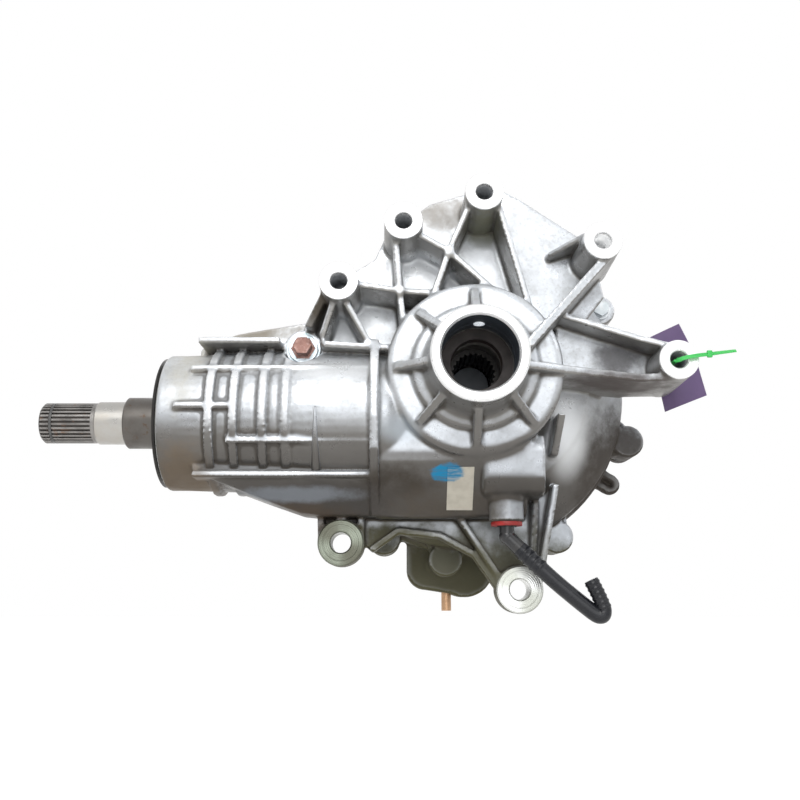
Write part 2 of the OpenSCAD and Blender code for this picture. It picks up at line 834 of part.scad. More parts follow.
module seal(outer, inner, t) {
    turned([[outer / 2, 0], [outer / 2, t], [outer / 2 - 1.2, t], [outer / 2 - 2.2, 1.6],
        [inner / 2 + 3, 1.6], [inner / 2 + 1.6, t - 2.5], [inner / 2 + run_fit, t - 3.5],
        [inner / 2 + 1.2, t / 2 - 1], [inner / 2 + 0.6, 0]]);
}

module axle_seal_near() {
    color("dimgray")
        face_on()
            translate([0, 0, near_seat + 1 + axle_seal_t])
                rotate([180, 0, 0])
                    seal(axle_seal_od, axle_seal_d, axle_seal_t);
}

module axle_seal_far() {
    color("dimgray")
        face_on()
            translate([0, 0, -far_seat - 1 - axle_seal_t])
                seal(axle_seal_od, axle_seal_d, axle_seal_t);
}

module pinion_seal() {
    color("dimgray")
        on_pinion_line()
            translate([0, 0, seal_start + pinion_seal_t])
                rotate([180, 0, 0])
                    seal(pinion_seal_d, sleeve_seal_d, pinion_seal_t);
}

// Tapered roller bearings, with z from the cone's thick end to the cup's thick end.
// The argument is the bearing's bore, outside diameter and width.

function mean_r(b) = (b[0] + b[1]) / 4;
function roller_r(b, u = 0) = (b[1] - b[0]) * 0.105 * (1 + u * sin(roller_tilt) / mean_r(b));
function roller_len(b) = b[2] * 0.66;
function roller_mid(b, u, side = 0) = [mean_r(b) + u * sin(roller_tilt) + side * cos(roller_tilt),
    b[2] / 2 - u * cos(roller_tilt) + side * sin(roller_tilt)];
function race(b, u, side) = roller_mid(b, u, side * (roller_r(b, u) + roller_gap));
function race_at(b, z, side) = let (p = race(b, 0, side), q = race(b, 1, side))
    [p[0] + (q[0] - p[0]) * (z - p[1]) / (q[1] - p[1]), z];
function roller_n(b) = floor(2 * PI * mean_r(b) / (roller_r(b) * 2.5));
function cone_end(b) = race(b, -roller_len(b) / 2 - roller_gap, -1)[1] + 1.2;

module bearing_cup(b) {
    front = roller_mid(b, roller_len(b) / 2 + 1, 1)[1];
    turned([[b[1] / 2, front], [b[1] / 2, b[2]], race_at(b, b[2], 1), race_at(b, front, 1)]);
}

module bearing_cone(b) {
    half = roller_len(b) / 2 + roller_gap;
    rib_h = roller_r(b) * 0.45;
    top = roller_mid(b, half, -roller_r(b, half) + rib_h);
    low = roller_mid(b, -half, -roller_r(b, -half) + rib_h * 0.5);
    turned([[b[0] / 2 + seat_fit, 0], [top[0], 0], top, race(b, half, -1), race(b, -half, -1), low,
        [low[0], cone_end(b)], [b[0] / 2 + seat_fit, cone_end(b)]]);
}

module at_rollers(b) {
    at_angles([for (k = [0 : roller_n(b) - 1]) k * 360 / roller_n(b)], mean_r(b))
        translate([0, 0, b[2] / 2])
            rotate([0, 180 - roller_tilt, 0])
                children();
}

module bearing_rollers(b) {
    half = roller_len(b) / 2;
    at_rollers(b)
        translate([0, 0, -half])
            cylinder(r1 = roller_r(b, -half), r2 = roller_r(b, half), h = 2 * half, $fn = 24);
}

module bearing_cage(b) {
    half = roller_len(b) / 2 + 2;
    thin = 0.6;
    difference() {
        turned([roller_mid(b, half, -thin), roller_mid(b, half, thin), roller_mid(b, -half, thin),
            roller_mid(b, -half, -thin)]);
        at_rollers(b)
            translate([0, 0, -roller_len(b) / 2 - 0.2])
                cylinder(r1 = roller_r(b, -roller_len(b) / 2) + 0.2,
                    r2 = roller_r(b, roller_len(b) / 2) + 0.2, h = roller_len(b) + 0.4, $fn = 24);
    }
}

module at_near_bearing() {
    face_on()
        translate([0, 0, near_shoulder])
            children();
}

module at_far_bearing() {
    face_on()
        translate([0, 0, -far_shoulder])
            rotate([180, 0, 0])
                children();
}

module at_head_bearing() {
    on_pinion_line()
        translate([0, 0, head_start])
            children();
}

module at_tail_bearing() {
    on_pinion_line()
        translate([0, 0, tail_end])
            rotate([180, 0, 0])
                children();
}

module near_bearing_cup() { color("slategray") at_near_bearing() bearing_cup(carrier_brg); }
module near_bearing_cone() { color("lightslategray") at_near_bearing() bearing_cone(carrier_brg); }
module near_bearing_rollers() { color("silver") at_near_bearing() bearing_rollers(carrier_brg); }
module near_bearing_cage() { color("burlywood") at_near_bearing() bearing_cage(carrier_brg); }
module far_bearing_cup() { color("slategray") at_far_bearing() bearing_cup(carrier_brg); }
module far_bearing_cone() { color("lightslategray") at_far_bearing() bearing_cone(carrier_brg); }
module far_bearing_rollers() { color("silver") at_far_bearing() bearing_rollers(carrier_brg); }
module far_bearing_cage() { color("burlywood") at_far_bearing() bearing_cage(carrier_brg); }
module head_bearing_cup() { color("slategray") at_head_bearing() bearing_cup(head_brg); }
module head_bearing_cone() { color("lightslategray") at_head_bearing() bearing_cone(head_brg); }
module head_bearing_rollers() { color("silver") at_head_bearing() bearing_rollers(head_brg); }
module head_bearing_cage() { color("burlywood") at_head_bearing() bearing_cage(head_brg); }
module tail_bearing_cup() { color("slategray") at_tail_bearing() bearing_cup(tail_brg); }
module tail_bearing_cone() { color("lightslategray") at_tail_bearing() bearing_cone(tail_brg); }
module tail_bearing_rollers() { color("silver") at_tail_bearing() bearing_rollers(tail_brg); }
module tail_bearing_cage() { color("burlywood") at_tail_bearing() bearing_cage(tail_brg); }

module near_shim() {
    color("goldenrod")
        at_near_bearing()
            ring(carrier_r, carrier_r - 6, carrier_brg[2], carrier_brg[2] + shim_t);
}

module far_shim() {
    color("goldenrod")
        at_far_bearing()
            ring(carrier_r, carrier_r - 6, carrier_brg[2], carrier_brg[2] + shim_t);
}

// Pinion line pieces

module pinion_shim() {
    color("goldenrod")
        on_pinion_line()
            ring(head_brg[0] / 2 + 6, head_brg[0] / 2 + seat_fit, head_start - shim_t, head_start);
}

module crush_sleeve() {
    from = head_start + cone_end(head_brg);
    to = tail_end - cone_end(tail_brg);
    mid = (from + to) / 2;
    inner = head_brg[0] / 2 + 0.3;
    color("slategray")
        on_pinion_line()
            turned([[inner, from], [inner + 2, from], [inner + 2, mid - 8], [inner + 4, mid - 2],
                [inner + 4, mid + 2], [inner + 2, mid + 8], [inner + 2, to], [inner, to],
                [inner, mid + 7], [inner + 2, mid + 1], [inner + 2, mid - 1], [inner, mid - 7]]);
}

module pinion_nut() {
    color("darkgray")
        on_pinion_line()
            translate([0, 0, tail_end])
                difference() {
                    union() {
                        cylinder(r = nut_af / 2 / cos(30), h = nut_t - 3, $fn = 6);
                        cylinder(d = nut_af - 6, h = nut_t);
                    }
                    translate([0, 0, -1])
                        cylinder(d = nut_thread + thread_fit, h = nut_t + 2);
                }
}

// Hypoid gears. X is the distance from the axle line, the teeth roll on pitch_r(X), and lead(X)
// is how far a ring tooth's trace has turned there.
function pitch_r(X) = (X + spiral * offset) / ratio;
function lead(X) = spiral * ln((X + spiral * offset) / (gear_to + spiral * offset)) * 180 / PI;
function inv(a) = tan(a) * 180 / PI - a;
function turn(p, a) = [p[0] * cos(a) - p[1] * sin(a), p[0] * sin(a) + p[1] * cos(a)];
// Half the angle of an involute tooth at radius r, when half its pitch angle at radius p is h
function tooth_half(h, p, r, pressure) = let (base = p * cos(pressure))
    h + inv(pressure) - (r > base ? inv(acos(base / r)) : 0);

function pinion_tooth(X, mid) = let (p = pitch_r(X), half = (1 - ring_tooth - backlash) * 180 / pinion_n)
    [for (side = [-1, 1]) for (k = [0 : len(pinion_levels) - 1])
        let (level = pinion_levels[side < 0 ? k : len(pinion_levels) - 1 - k], r = p * (1 + level / 6),
            a = mid + side * tooth_half(half, p, r, rack_angle))
        [r * cos(a), r * sin(a), X]];
function pinion_loop(X) = [for (k = [0 : pinion_n - 1])
    each pinion_tooth(X, 90 + mesh_turn + (k + 0.5) * 360 / pinion_n + ratio * lead(X))];

module pinion_teeth() {
    loops = [for (j = [0 : pinion_steps]) pinion_loop(gear_from + (gear_to - gear_from) * j / pinion_steps)];
    all = concat([shrunk(loops[0], pitch_r(gear_from) * 0.85, gear_from)], loops,
        [shrunk(loops[pinion_steps], pitch_r(gear_to) * 0.85, gear_to)]);
    polyhedron([for (l = all) each l], tube_faces(len(all), len(loops[0])));
}

module spline_grooves(d, n, from, to, depth = 1) {
    wide = PI * d / n / 2;
    for (k = [0 : n - 1])
        rotate([0, 0, k * 360 / n])
            translate([d / 2 - depth, 0, from])
                linear_extrude(to - from)
                    polygon([[0, -wide / 3], [depth + 1, -wide * 0.75], [depth + 1, wide * 0.75], [0, wide / 3]]);
}

module pinion_shaft() {
    difference() {
        turned([[0, gear_to - e], [24, gear_to - e], [27, head_start - shim_t], [head_brg[0] / 2, head_start - shim_t],
            [head_brg[0] / 2, head_end + 6], [tail_brg[0] / 2, head_end + 8],
            [tail_brg[0] / 2, tail_end - 1], [nut_thread / 2, tail_end - 1],
            [nut_thread / 2, tail_end + nut_t - 1], [sleeve_bore / 2, tail_end + nut_t],
            [sleeve_bore / 2, sleeve_end], [journal_d / 2, sleeve_end], [journal_d / 2, shaft_step - 1], [input_spline / 2, shaft_step],
            [input_spline / 2, circlip_at - 1], [input_spline / 2 - 1.6, circlip_at - 1],
            [input_spline / 2 - 1.6, circlip_at + 1], [input_spline / 2, circlip_at + 1],
            [input_spline / 2, shaft_end - 1.5], [input_spline / 2 - 1.5, shaft_end], [0, shaft_end]]);
        spline_grooves(input_spline, input_spline_n, shaft_step + 2, shaft_end + 1);
        translate([0, 0, shaft_end - 6])
            cylinder(r1 = 0.5, r2 = 4, h = 7);
    }
}

module pinion() {
    color("lightgray")
        on_pinion_line() {
            pinion_teeth();
            pinion_shaft();
        }
}

module input_sleeve() {
    inner = sleeve_bore / 2 + seat_fit;
    color("dimgray")
        on_pinion_line()
            turned([[inner, sleeve_start], [sleeve_seal_d / 2 - 1, sleeve_start],
                [sleeve_seal_d / 2, sleeve_start + 1], [sleeve_seal_d / 2, sleeve_step],
                [sleeve_d / 2, sleeve_step], [sleeve_d / 2, sleeve_end - 1],
                [sleeve_d / 2 - 1, sleeve_end], [inner, sleeve_end]]);
}

module dust_shield() {
    inner = sleeve_seal_d / 2 + seat_fit;
    color("black")
        on_pinion_line()
            turned([[inner, shield_start], [barrel_r - 3, shield_start], [barrel_r - 2, shield_start + 1.5],
                [inner + 3, shield_start + 4.5], [inner, shield_start + 4.5]]);
}

module shaft_circlip() {
    color("gray")
        on_pinion_line()
            translate([0, 0, circlip_at - 0.8])
                difference() {
                    ring(input_spline / 2, input_spline / 2 - 1.5, 0, 1.6);
                    translate([-2, 0, -1])
                        cube([4, 20, 4]);
                }
}

// A ring tooth's point at radius r, t along the pitch circle and h above it, both as shares of
// the pinion's module, which is a sixth of its pitch radius
function mesh_x(r, t) = let (a = t / 6 / ratio, c = offset * (1 - a * spiral))
    (a * c + sqrt(a * a * c * c - (1 + a * a) * (c * c - r * r))) / (1 + a * a);
function ring_point(r, t, h, mid) = let (X = mesh_x(r, t), p = pitch_r(X),
    q = turn([-X, -offset + t * p / 6], mid + lead(X))) [q[0], q[1], -p + h * p / 6];
function ring_loop(r) = [for (k = [0 : ring_n - 1]) for (f = ring_form)
    ring_point(r, f[0], f[1], k * 360 / ring_n)];
function sunk(loop, z) = [for (p = loop) [p[0], p[1], z]];
function closed_faces(m, n) = [for (j = [0 : m - 1]) for (k = [0 : n - 1])
    let (a = j * n + k, b = j * n + (k + 1) % n, c = (j + 1) % m * n + k, d = (j + 1) % m * n + (k + 1) % n)
    for (f = [[a, b, d], [a, d, c]]) f];

module ring_teeth() {
    loops = [for (j = [0 : ring_steps]) ring_loop(ring_in + (ring_out - ring_in) * j / ring_steps)];
    all = concat([sunk(loops[0], -ring_seat - e)], loops, [sunk(loops[ring_steps], -ring_seat - e)]);
    polyhedron([for (l = all) each l], closed_faces(len(all), len(loops[0])));
}

module at_gear_bolts() {
    at_angles([for (k = [0 : gear_bolt_n - 1]) (k + 0.5) * 360 / gear_bolt_n], gear_bolt_circle / 2)
        children();
}

module ring_gear() {
    outer = ring_out + 0.4;
    color("gray")
        face_on() {
            ring_teeth();
            difference() {
                turned([[ring_bore_r, -ring_back], [outer - 2, -ring_back], [outer, -ring_back + 2],
                    [outer, -ring_seat], [ring_bore_r, -ring_seat]]);
                translate([0, 0, -ring_back - 1])
                    at_gear_bolts()
                        cylinder(d = gear_bolt + thread_fit, h = ring_back - ring_seat - 2);
            }
        }
}

module ring_gear_bolts() {
    color("dimgray")
        face_on()
            translate([0, 0, -ring_back - case_flange_t])
                at_gear_bolts()
                    rotate([180, 0, 0])
                        flange_bolt(gear_bolt, gear_bolt * 2, gear_bolt * 1.5);
}

// Differential

module at_diff() {
    face_on()
        translate([0, 0, -diff_back])
            children();
}

module case_outside() {
    journal_r = carrier_brg[0] / 2;
    near = near_shoulder + diff_back;
    far = far_shoulder - diff_back;
    back = ring_back - diff_back;
    first = asin((journal_r + 4) / case_r);
    turned(concat([[0, near + carrier_brg[2] - 3], [journal_r, near + carrier_brg[2] - 3],
            [journal_r, near], [journal_r + 4, near]],
        [for (k = [0 : 14]) let (a = first + (122 - first) * k / 14) case_r * [sin(a), cos(a)]],
        [[ring_bore_r - seat_fit, -back + 11],
            [ring_bore_r - seat_fit, -back], [case_flange_r, -back],
            [case_flange_r, -back - case_flange_t], [journal_r + 28, -back - case_flange_t],
            [journal_r + 4, -far], [journal_r, -far], [journal_r, -far - carrier_brg[2] + 3],
            [0, -far - carrier_brg[2] + 3]]));
}

module case_inside() {
    pocket = side_back + washer_t + play;
    sphere(r = spider_back + washer_t + 2 * play);
    translate([0, 0, -pocket])
        cylinder(r = pocket_r, h = 2 * pocket);
    translate([0, 0, -100])
        cylinder(r = hub_r + run_fit, h = 200);
    // the two windows
    rotate([0, 90, 0])
        translate([0, 0, -case_r - 1])
            cylinder(r = 18, h = 2 * case_r + 2);
    // cross pin and its lock
    rotate([90, 0, 0])
        translate([0, 0, -case_r - 1])
            cylinder(d = cross_pin_d + seat_fit, h = 2 * case_r + 2);
    translate([0, lock_y, -lock_len / 2])
        cylinder(d = lock_d + seat_fit, h = case_r);
}

module diff_case() {
    color("darkslategray")
        difference() {
            at_diff()
                difference() {
                    case_outside();
                    case_inside();
                }
            face_on()
                translate([0, 0, -ring_back - case_flange_t - 1])
                    at_gear_bolts()
                        cylinder(d = gear_bolt + 0.6, h = case_flange_t + 2);
        }
}

module cross_pin() {
    half = sqrt(case_r * case_r - cross_pin_d * cross_pin_d / 4) - 0.6;
    color("silver")
        at_diff()
            difference() {
                rotate([90, 0, 0])
                    turned([[0, -half], [cross_pin_d / 2 - 1, -half], [cross_pin_d / 2, -half + 1],
                        [cross_pin_d / 2, half - 1], [cross_pin_d / 2 - 1, half], [0, half]]);
                translate([0, lock_y, -20])
                    cylinder(d = lock_d + seat_fit, h = 40);
            }
}

// Block on the middle of the cross pin, which keeps the axle shafts apart
module thrust_block() {
    color("gray")
        at_diff()
            difference() {
                translate([0, 0, -block_t / 2])
                    cylinder(d = axle_spline - 0.4, h = block_t);
                rotate([90, 0, 0])
                    cylinder(d = cross_pin_d + 2 * seat_fit, h = 40, center = true);
            }
}

module cross_pin_lock() {
    color("gray")
        at_diff()
            translate([0, lock_y, 0])
                ring(lock_d / 2, lock_d / 2 - 0.9, -lock_len / 2, lock_len / 2 + 2);
}

// Straight bevel gears, with the apex of the cones at z = 0. The tooth is an involute on the
// back cone.
function bevel_point(n, angle, k, level, mid, side) =
    let (flat_n = n / cos(angle), flat_r = diff_module * flat_n / 2, h = level * diff_module,
        half = tooth_half(90 / flat_n * (1 - diff_play), flat_r, flat_r + h, gear_angle) / cos(angle),
        r = k * (diff_module * n / 2 + h * cos(angle)), a = mid + side * half)
    [r * cos(a), r * sin(a), k * (cone_dist * cos(angle) - h * sin(angle))];
function bevel_loop(n, angle, k) = let (last = len(bevel_levels) - 1)
    [for (i = [0 : n - 1]) for (side = [-1, 1]) for (j = [0 : last])
        bevel_point(n, angle, k, bevel_levels[side < 0 ? j : last - j], i * 360 / n, side)];
function root_z(n, angle, k) = k * (cone_dist * cos(angle) - bevel_levels[0] * diff_module * sin(angle));
function root_r(n, angle, k) = k * (diff_module * n / 2 + bevel_levels[0] * diff_module * cos(angle));
function shrunk(loop, r, z) = [for (p = loop) let (s = r / norm([p[0], p[1]])) [p[0] * s, p[1] * s, z]];

module bevel_teeth(n, angle) {
    inner = 1 - diff_face / cone_dist;
    low = bevel_loop(n, angle, inner);
    high = bevel_loop(n, angle, 1);
    loops = [shrunk(low, root_r(n, angle, inner) - 0.8, root_z(n, angle, inner)), low, high,
        shrunk(high, root_r(n, angle, 1) - 0.8, root_z(n, angle, 1))];
    polyhedron([for (l = loops) each l], tube_faces(len(loops), len(low)));
}

module side_gear() {
    hub_from = root_z(side_n, side_angle, 1) - 0.8;
    groove_d = axle_spline + 1.6;
    difference() {
        union() {
            bevel_teeth(side_n, side_angle);
            translate([0, 0, hub_from])
                cylinder(r = root_r(side_n, side_angle, 1) - 1.6, h = side_back - hub_from);
            translate([0, 0, side_back - 1])
                cylinder(r = hub_r, h = 21);
        }
        translate([0, 0, -1])
            linear_extrude(60)
                polygon([for (k = [0 : axle_spline_n - 1]) for (q = [[0, 0.2], [1, 0.35], [1, 0.65], [0, 0.8]])
                    let (r = axle_spline / 2 + q[0], a = (k + q[1]) * 360 / axle_spline_n)
                    [r * cos(a), r * sin(a)]]);
    }
}

module spider_gear() {
    hub_from = root_z(spider_n, 90 - side_angle, 1) - 0.8;
    difference() {
        union() {
            bevel_teeth(spider_n, 90 - side_angle);
            intersection() {
                translate([0, 0, hub_from])
                    cylinder(r = root_r(spider_n, 90 - side_angle, 1) - 1.2, h = 10);
                sphere(r = spider_back);
            }
        }
        translate([0, 0, -1])
            cylinder(d = cross_pin_d + 2 * run_fit, h = 60);
    }
}

module spider_washer() {
    difference() {
        intersection() {
            translate([0, 0, spider_back - 6])
                cylinder(r = root_r(spider_n, 90 - side_angle, 1), h = 10);
            sphere(r = spider_back + washer_t + play);
        }
        sphere(r = spider_back + play);
        cylinder(d = cross_pin_d + 0.6, h = 60);
    }
}

module side_washer() {
    ring(root_r(side_n, side_angle, 1) - 1.6, hub_r + 0.2, side_back + play / 2, side_back + washer_t + play / 2);
}

module at_top() {
    at_diff()
        rotate([-90, 0, 0])
            children();
}

module at_bottom() {
    at_diff()
        rotate([90, 0, 0])
            children();
}

module spider_gear_top() { color("silver") at_top() spider_gear(); }
module spider_gear_bottom() { color("silver") at_bottom() spider_gear(); }
module spider_washer_top() { color("goldenrod") at_top() spider_washer(); }
module spider_washer_bottom() { color("goldenrod") at_bottom() spider_washer(); }
module side_gear_near() { color("lightgray") at_diff() side_gear(); }
module side_gear_far() { color("lightgray") at_diff() rotate([180, 0, 0]) side_gear(); }
module side_washer_near() { color("goldenrod") at_diff() side_washer(); }
module side_washer_far() { color("goldenrod") at_diff() rotate([180, 0, 0]) side_washer(); }

// Blank label on the sloping face below the dome
module label_plate() {
    run = slope_low - slope_high;
    along = run / norm(run);
    out = [along[1], -along[0]];
    from = slope_high + along * 3;
    to = slope_high + along * 35;
    color("tan")
        face_on()
            along_x([from, to, to + out * label_t, from + out * label_t], -17, -1);
}

main_housing();
side_cover();
cover_gasket();
cover_bolts();
cover_dowels();
fill_plug();
fill_plug_washer();
drain_plug();
drain_plug_washer();
drain_stub();
breather_elbow();
breather_clip();
breather_hose();
axle_seal_near();
axle_seal_far();
pinion_seal();
near_bearing_cup();
near_bearing_cone();
near_bearing_rollers();
near_bearing_cage();
far_bearing_cup();
far_bearing_cone();
far_bearing_rollers();
far_bearing_cage();
head_bearing_cup();
head_bearing_cone();
head_bearing_rollers();
head_bearing_cage();
tail_bearing_cup();
tail_bearing_cone();
tail_bearing_rollers();
tail_bearing_cage();
near_shim();
far_shim();
pinion_shim();
crush_sleeve();
pinion_nut();
pinion();
input_sleeve();
dust_shield();
shaft_circlip();
ring_gear();
ring_gear_bolts();
diff_case();
cross_pin();
thrust_block();
cross_pin_lock();
spider_gear_top();
spider_gear_bottom();
spider_washer_top();
spider_washer_bottom();
side_gear_near();
side_gear_far();
side_washer_near();
side_washer_far();
label_plate();
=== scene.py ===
import math

import bmesh
import bpy
import numpy as np
from mathutils import Matrix, Vector


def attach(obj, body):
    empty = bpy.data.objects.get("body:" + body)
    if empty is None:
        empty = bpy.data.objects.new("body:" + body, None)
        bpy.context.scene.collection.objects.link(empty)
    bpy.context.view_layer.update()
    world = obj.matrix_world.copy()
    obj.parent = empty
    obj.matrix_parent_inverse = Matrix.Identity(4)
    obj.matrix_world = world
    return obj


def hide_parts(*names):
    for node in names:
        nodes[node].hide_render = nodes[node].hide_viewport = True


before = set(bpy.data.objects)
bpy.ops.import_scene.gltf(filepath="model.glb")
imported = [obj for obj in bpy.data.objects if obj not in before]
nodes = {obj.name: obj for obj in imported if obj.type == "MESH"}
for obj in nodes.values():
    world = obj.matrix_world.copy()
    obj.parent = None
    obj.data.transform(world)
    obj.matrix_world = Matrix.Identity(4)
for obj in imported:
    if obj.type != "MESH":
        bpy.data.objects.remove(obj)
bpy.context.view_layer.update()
mm = 0.001
pinionDrop = 26  # the pinion line runs this far below the axle line


# camera first, then the hose, because the cord check needs both

camera = {
    "place": (-0.0457, -0.5869, -0.1353),
    "tilt": 12.0,  # degrees above level
    "angle": 46.86,  # field of view over the whole picture
    "sensor": 36.0,
}


def makeCamera(c):
    data = bpy.data.cameras.new("photoCamera")
    data.sensor_width = c["sensor"]
    data.lens = c["sensor"] / 2 / math.tan(math.radians(c["angle"] / 2))
    data.clip_start, data.clip_end = 0.01, 20
    cam = bpy.data.objects.new("photoCamera", data)
    cam.location = c["place"]
    cam.rotation_euler = (math.radians(90 + c["tilt"]), 0, 0)
    bpy.context.scene.collection.objects.link(cam)
    bpy.context.scene.camera = cam
    print("camera: lens", round(data.lens, 2))


makeCamera(camera)


# mesh helpers, all lengths in mm

def addPiece(name, mesh, body, material=None, smooth=True, turn=None):
    piece = bpy.data.objects.new(name, mesh)
    bpy.context.scene.collection.objects.link(piece)
    if turn:
        piece.matrix_world = turn
    if material:
        mesh.materials.clear()
        mesh.materials.append(material)
    if smooth:
        mesh.polygons.foreach_set("use_smooth", [True] * len(mesh.polygons))
    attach(piece, body)
    return piece


def meshOf(name, points, faces):
    mesh = bpy.data.meshes.new(name)
    mesh.from_pydata([Vector(p) * mm for p in points], [], faces)
    bm = bmesh.new()
    bm.from_mesh(mesh)
    bmesh.ops.remove_doubles(bm, verts=bm.verts, dist=1e-7)
    bmesh.ops.recalc_face_normals(bm, faces=bm.faces)
    bm.to_mesh(mesh)
    bm.free()
    return mesh


def frontLine(x, z):  # a local frame whose Z runs towards the viewer
    return Matrix.Translation(Vector((x, 0, z)) * mm) @ Matrix.Rotation(math.pi / 2, 4, "X")


def pinionLine():  # a local frame whose Z runs out of the barrel's mouth
    return Matrix.Translation((0, 0, -pinionDrop * mm)) @ Matrix.Rotation(-math.pi / 2, 4, "Y")


def lathe(name, profile, turns=96):  # closed ring from (radius, height) points
    points, faces, count = [], [], len(profile)
    for k in range(turns):
        a = 2 * math.pi * k / turns
        points += [(r * math.cos(a), r * math.sin(a), h) for r, h in profile]
    for k in range(turns):
        for i in range(count):
            j, n = (i + 1) % count, (k + 1) % turns
            faces.append((k * count + i, k * count + j, n * count + j, n * count + i))
    return meshOf(name, points, faces)


def smoothPath(route, share):  # Catmull-Rom points, share to each span
    ends = [2 * Vector(route[0]) - Vector(route[1])] + [Vector(p) for p in route]
    ends.append(2 * ends[-1] - ends[-2])
    path = []
    for i in range(1, len(ends) - 2):
        a, b, c, d = ends[i - 1:i + 3]
        for k in range(share):
            t = k / share
            path.append(0.5 * (2 * b + (c - a) * t + (2 * a - 5 * b + 4 * c - d) * t * t
                               + (3 * b - a - 3 * c + d) * t ** 3))
    path.append(ends[-2])
    return path


def sweep(name, path, section, grow=None):  # section points ride along the path
    points, faces, count = [], [], len(section)
    side = None
    along = 0
    for i, p in enumerate(path):
        head = (path[min(i + 1, len(path) - 1)] - path[max(i - 1, 0)]).normalized()
        side = Vector((0, 1, 0)) if side is None else side
        side = (side - head * side.dot(head)).normalized()
        other = head.cross(side)
        along += (p - path[i - 1]).length if i else 0
        size = grow(along) if grow else 1
        points += [p + (side * u + other * v) * size for u, v in section]
    for i in range(len(path) - 1):
        for k in range(count):
            n = (k + 1) % count
            faces.append((i * count + k, i * count + n, (i + 1) * count + n, (i + 1) * count + k))
    faces.append(tuple(range(count)))
    faces.append(tuple((len(path) - 1) * count + k for k in range(count)))
    return meshOf(name, points, faces)


def roundSection(radius, count):
    return [(radius * math.cos(2 * math.pi * k / count), radius * math.sin(2 * math.pi * k / count))
            for k in range(count)]


def pathLength(path):
    return sum((b - a).length for a, b in zip(path, path[1:]))


# breather hose

hose = {
    "route": [
        (26.8, -21.0, -107.0), (30.5, -21.5, -110.7), (34.2, -22.2, -114.4),
        (38.2, -23.0, -118.3), (44.0, -24.2, -123.9), (50.0, -25.4, -129.4),
        (55.2, -26.5, -133.9), (60.6, -27.5, -138.5), (65.7, -28.4, -142.7),
        (68.6, -29.0, -145.0), (71.2, -29.6, -146.4), (73.6, -30.0, -146.0),
        (74.6, -30.0, -143.8), (74.0, -30.0, -141.0), (72.7, -30.0, -137.6),
        (71.2, -30.0, -134.0), (69.4, -30.0, -130.2), (67.4, -30.0, -126.0)],
    "radius": 4.8,
    "hoops": (4.0, 8.2, 12.4, 16.6),  # moulded rings by the elbow
    "hoopRise": 0.13, "hoopWidth": 0.9,
    "neckFrom": 62.0, "neckOver": 3.0, "neck": 0.88,  # the hooked end is slimmer
    "hookHoops": (67.5, 70.5, 73.5, 76.5, 79.5, 82.5),
    "hookRise": 0.09, "hookWidth": 0.7,
    "diameter": 0.0096,
}


def hoseSize(along):
    h = hose
    size = 1 - (1 - h["neck"]) * min(1, max(0, (along - h["neckFrom"]) / h["neckOver"]))
    for at in h["hoops"]:
        size += h["hoopRise"] * math.exp(-((along - at) / h["hoopWidth"]) ** 2)
    for at in h["hookHoops"]:
        size += h["hookRise"] * math.exp(-((along - at) / h["hookWidth"]) ** 2)
    return size


def makeHose(h):
    path = smoothPath(h["route"], 16)
    mesh = sweep("breatherHose", path, roundSection(h["radius"], 48), hoseSize)
    piece = addPiece("breatherHose", mesh, "housing")
    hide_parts("breather_hose")
    return piece


hosePiece = makeHose(hose)


# node helpers for the finishes

def startMaterial(name):
    mat = bpy.data.materials.new(name)
    mat.use_nodes = True
    return mat, mat.node_tree, mat.node_tree.nodes["Principled BSDF"]


def plug(tree, socket, value):  # a link when value is a socket, or else a fixed number
    if isinstance(value, bpy.types.NodeSocket):
        tree.links.new(value, socket)
    else:
        socket.default_value = value


def calc(tree, kind, a, b=0.0):
    n = tree.nodes.new("ShaderNodeMath")
    n.operation = kind
    plug(tree, n.inputs[0], a)
    plug(tree, n.inputs[1], b)
    return n.outputs[0]


def times(tree, a, b):
    return calc(tree, "MULTIPLY", a, b)


def plus(tree, a, b):
    return calc(tree, "ADD", a, b)


def spread(tree, value, low, high, toLow=0.0, toHigh=1.0):
    n = tree.nodes.new("ShaderNodeMapRange")
    n.interpolation_type = "SMOOTHSTEP"
    for socket, v in zip(n.inputs, (value, low, high, toLow, toHigh)):
        plug(tree, socket, v)
    return n.outputs[0]


def blendColour(tree, share, a, b):
    n = tree.nodes.new("ShaderNodeMix")
    n.data_type = "RGBA"
    plug(tree, n.inputs[0], share)
    plug(tree, n.inputs[6], (*a, 1) if isinstance(a, tuple) else a)
    plug(tree, n.inputs[7], (*b, 1) if isinstance(b, tuple) else b)
    return n.outputs[2]


def place(tree):
    return tree.nodes.new("ShaderNodeTexCoord").outputs["Object"]


def facing(tree, axis):  # how far the surface faces along an axis of the part
    n = tree.nodes.new("ShaderNodeSeparateXYZ")
    tree.links.new(tree.nodes.new("ShaderNodeTexCoord").outputs["Normal"], n.inputs[0])
    return n.outputs["XYZ".index(axis)]


def coordinate(tree, axis):
    n = tree.nodes.new("ShaderNodeSeparateXYZ")
    tree.links.new(place(tree), n.inputs[0])
    return n.outputs["XYZ".index(axis)]


def speckle(tree, scale, detail=3.0, rough=0.55, stretch=None):
    vector = place(tree)
    if stretch:
        m = tree.nodes.new("ShaderNodeMapping")
        m.inputs["Scale"].default_value = stretch
        tree.links.new(vector, m.inputs["Vector"])
        vector = m.outputs["Vector"]
    n = tree.nodes.new("ShaderNodeTexNoise")
    n.inputs["Scale"].default_value = scale
    n.inputs["Detail"].default_value = detail
    n.inputs["Roughness"].default_value = rough
    tree.links.new(vector, n.inputs["Vector"])
    return n.outputs[0]


def measure(tree, name):  # a number kept on each vertex of the mesh
    n = tree.nodes.new("ShaderNodeAttribute")
    n.attribute_name = name
    return n.outputs["Fac"]


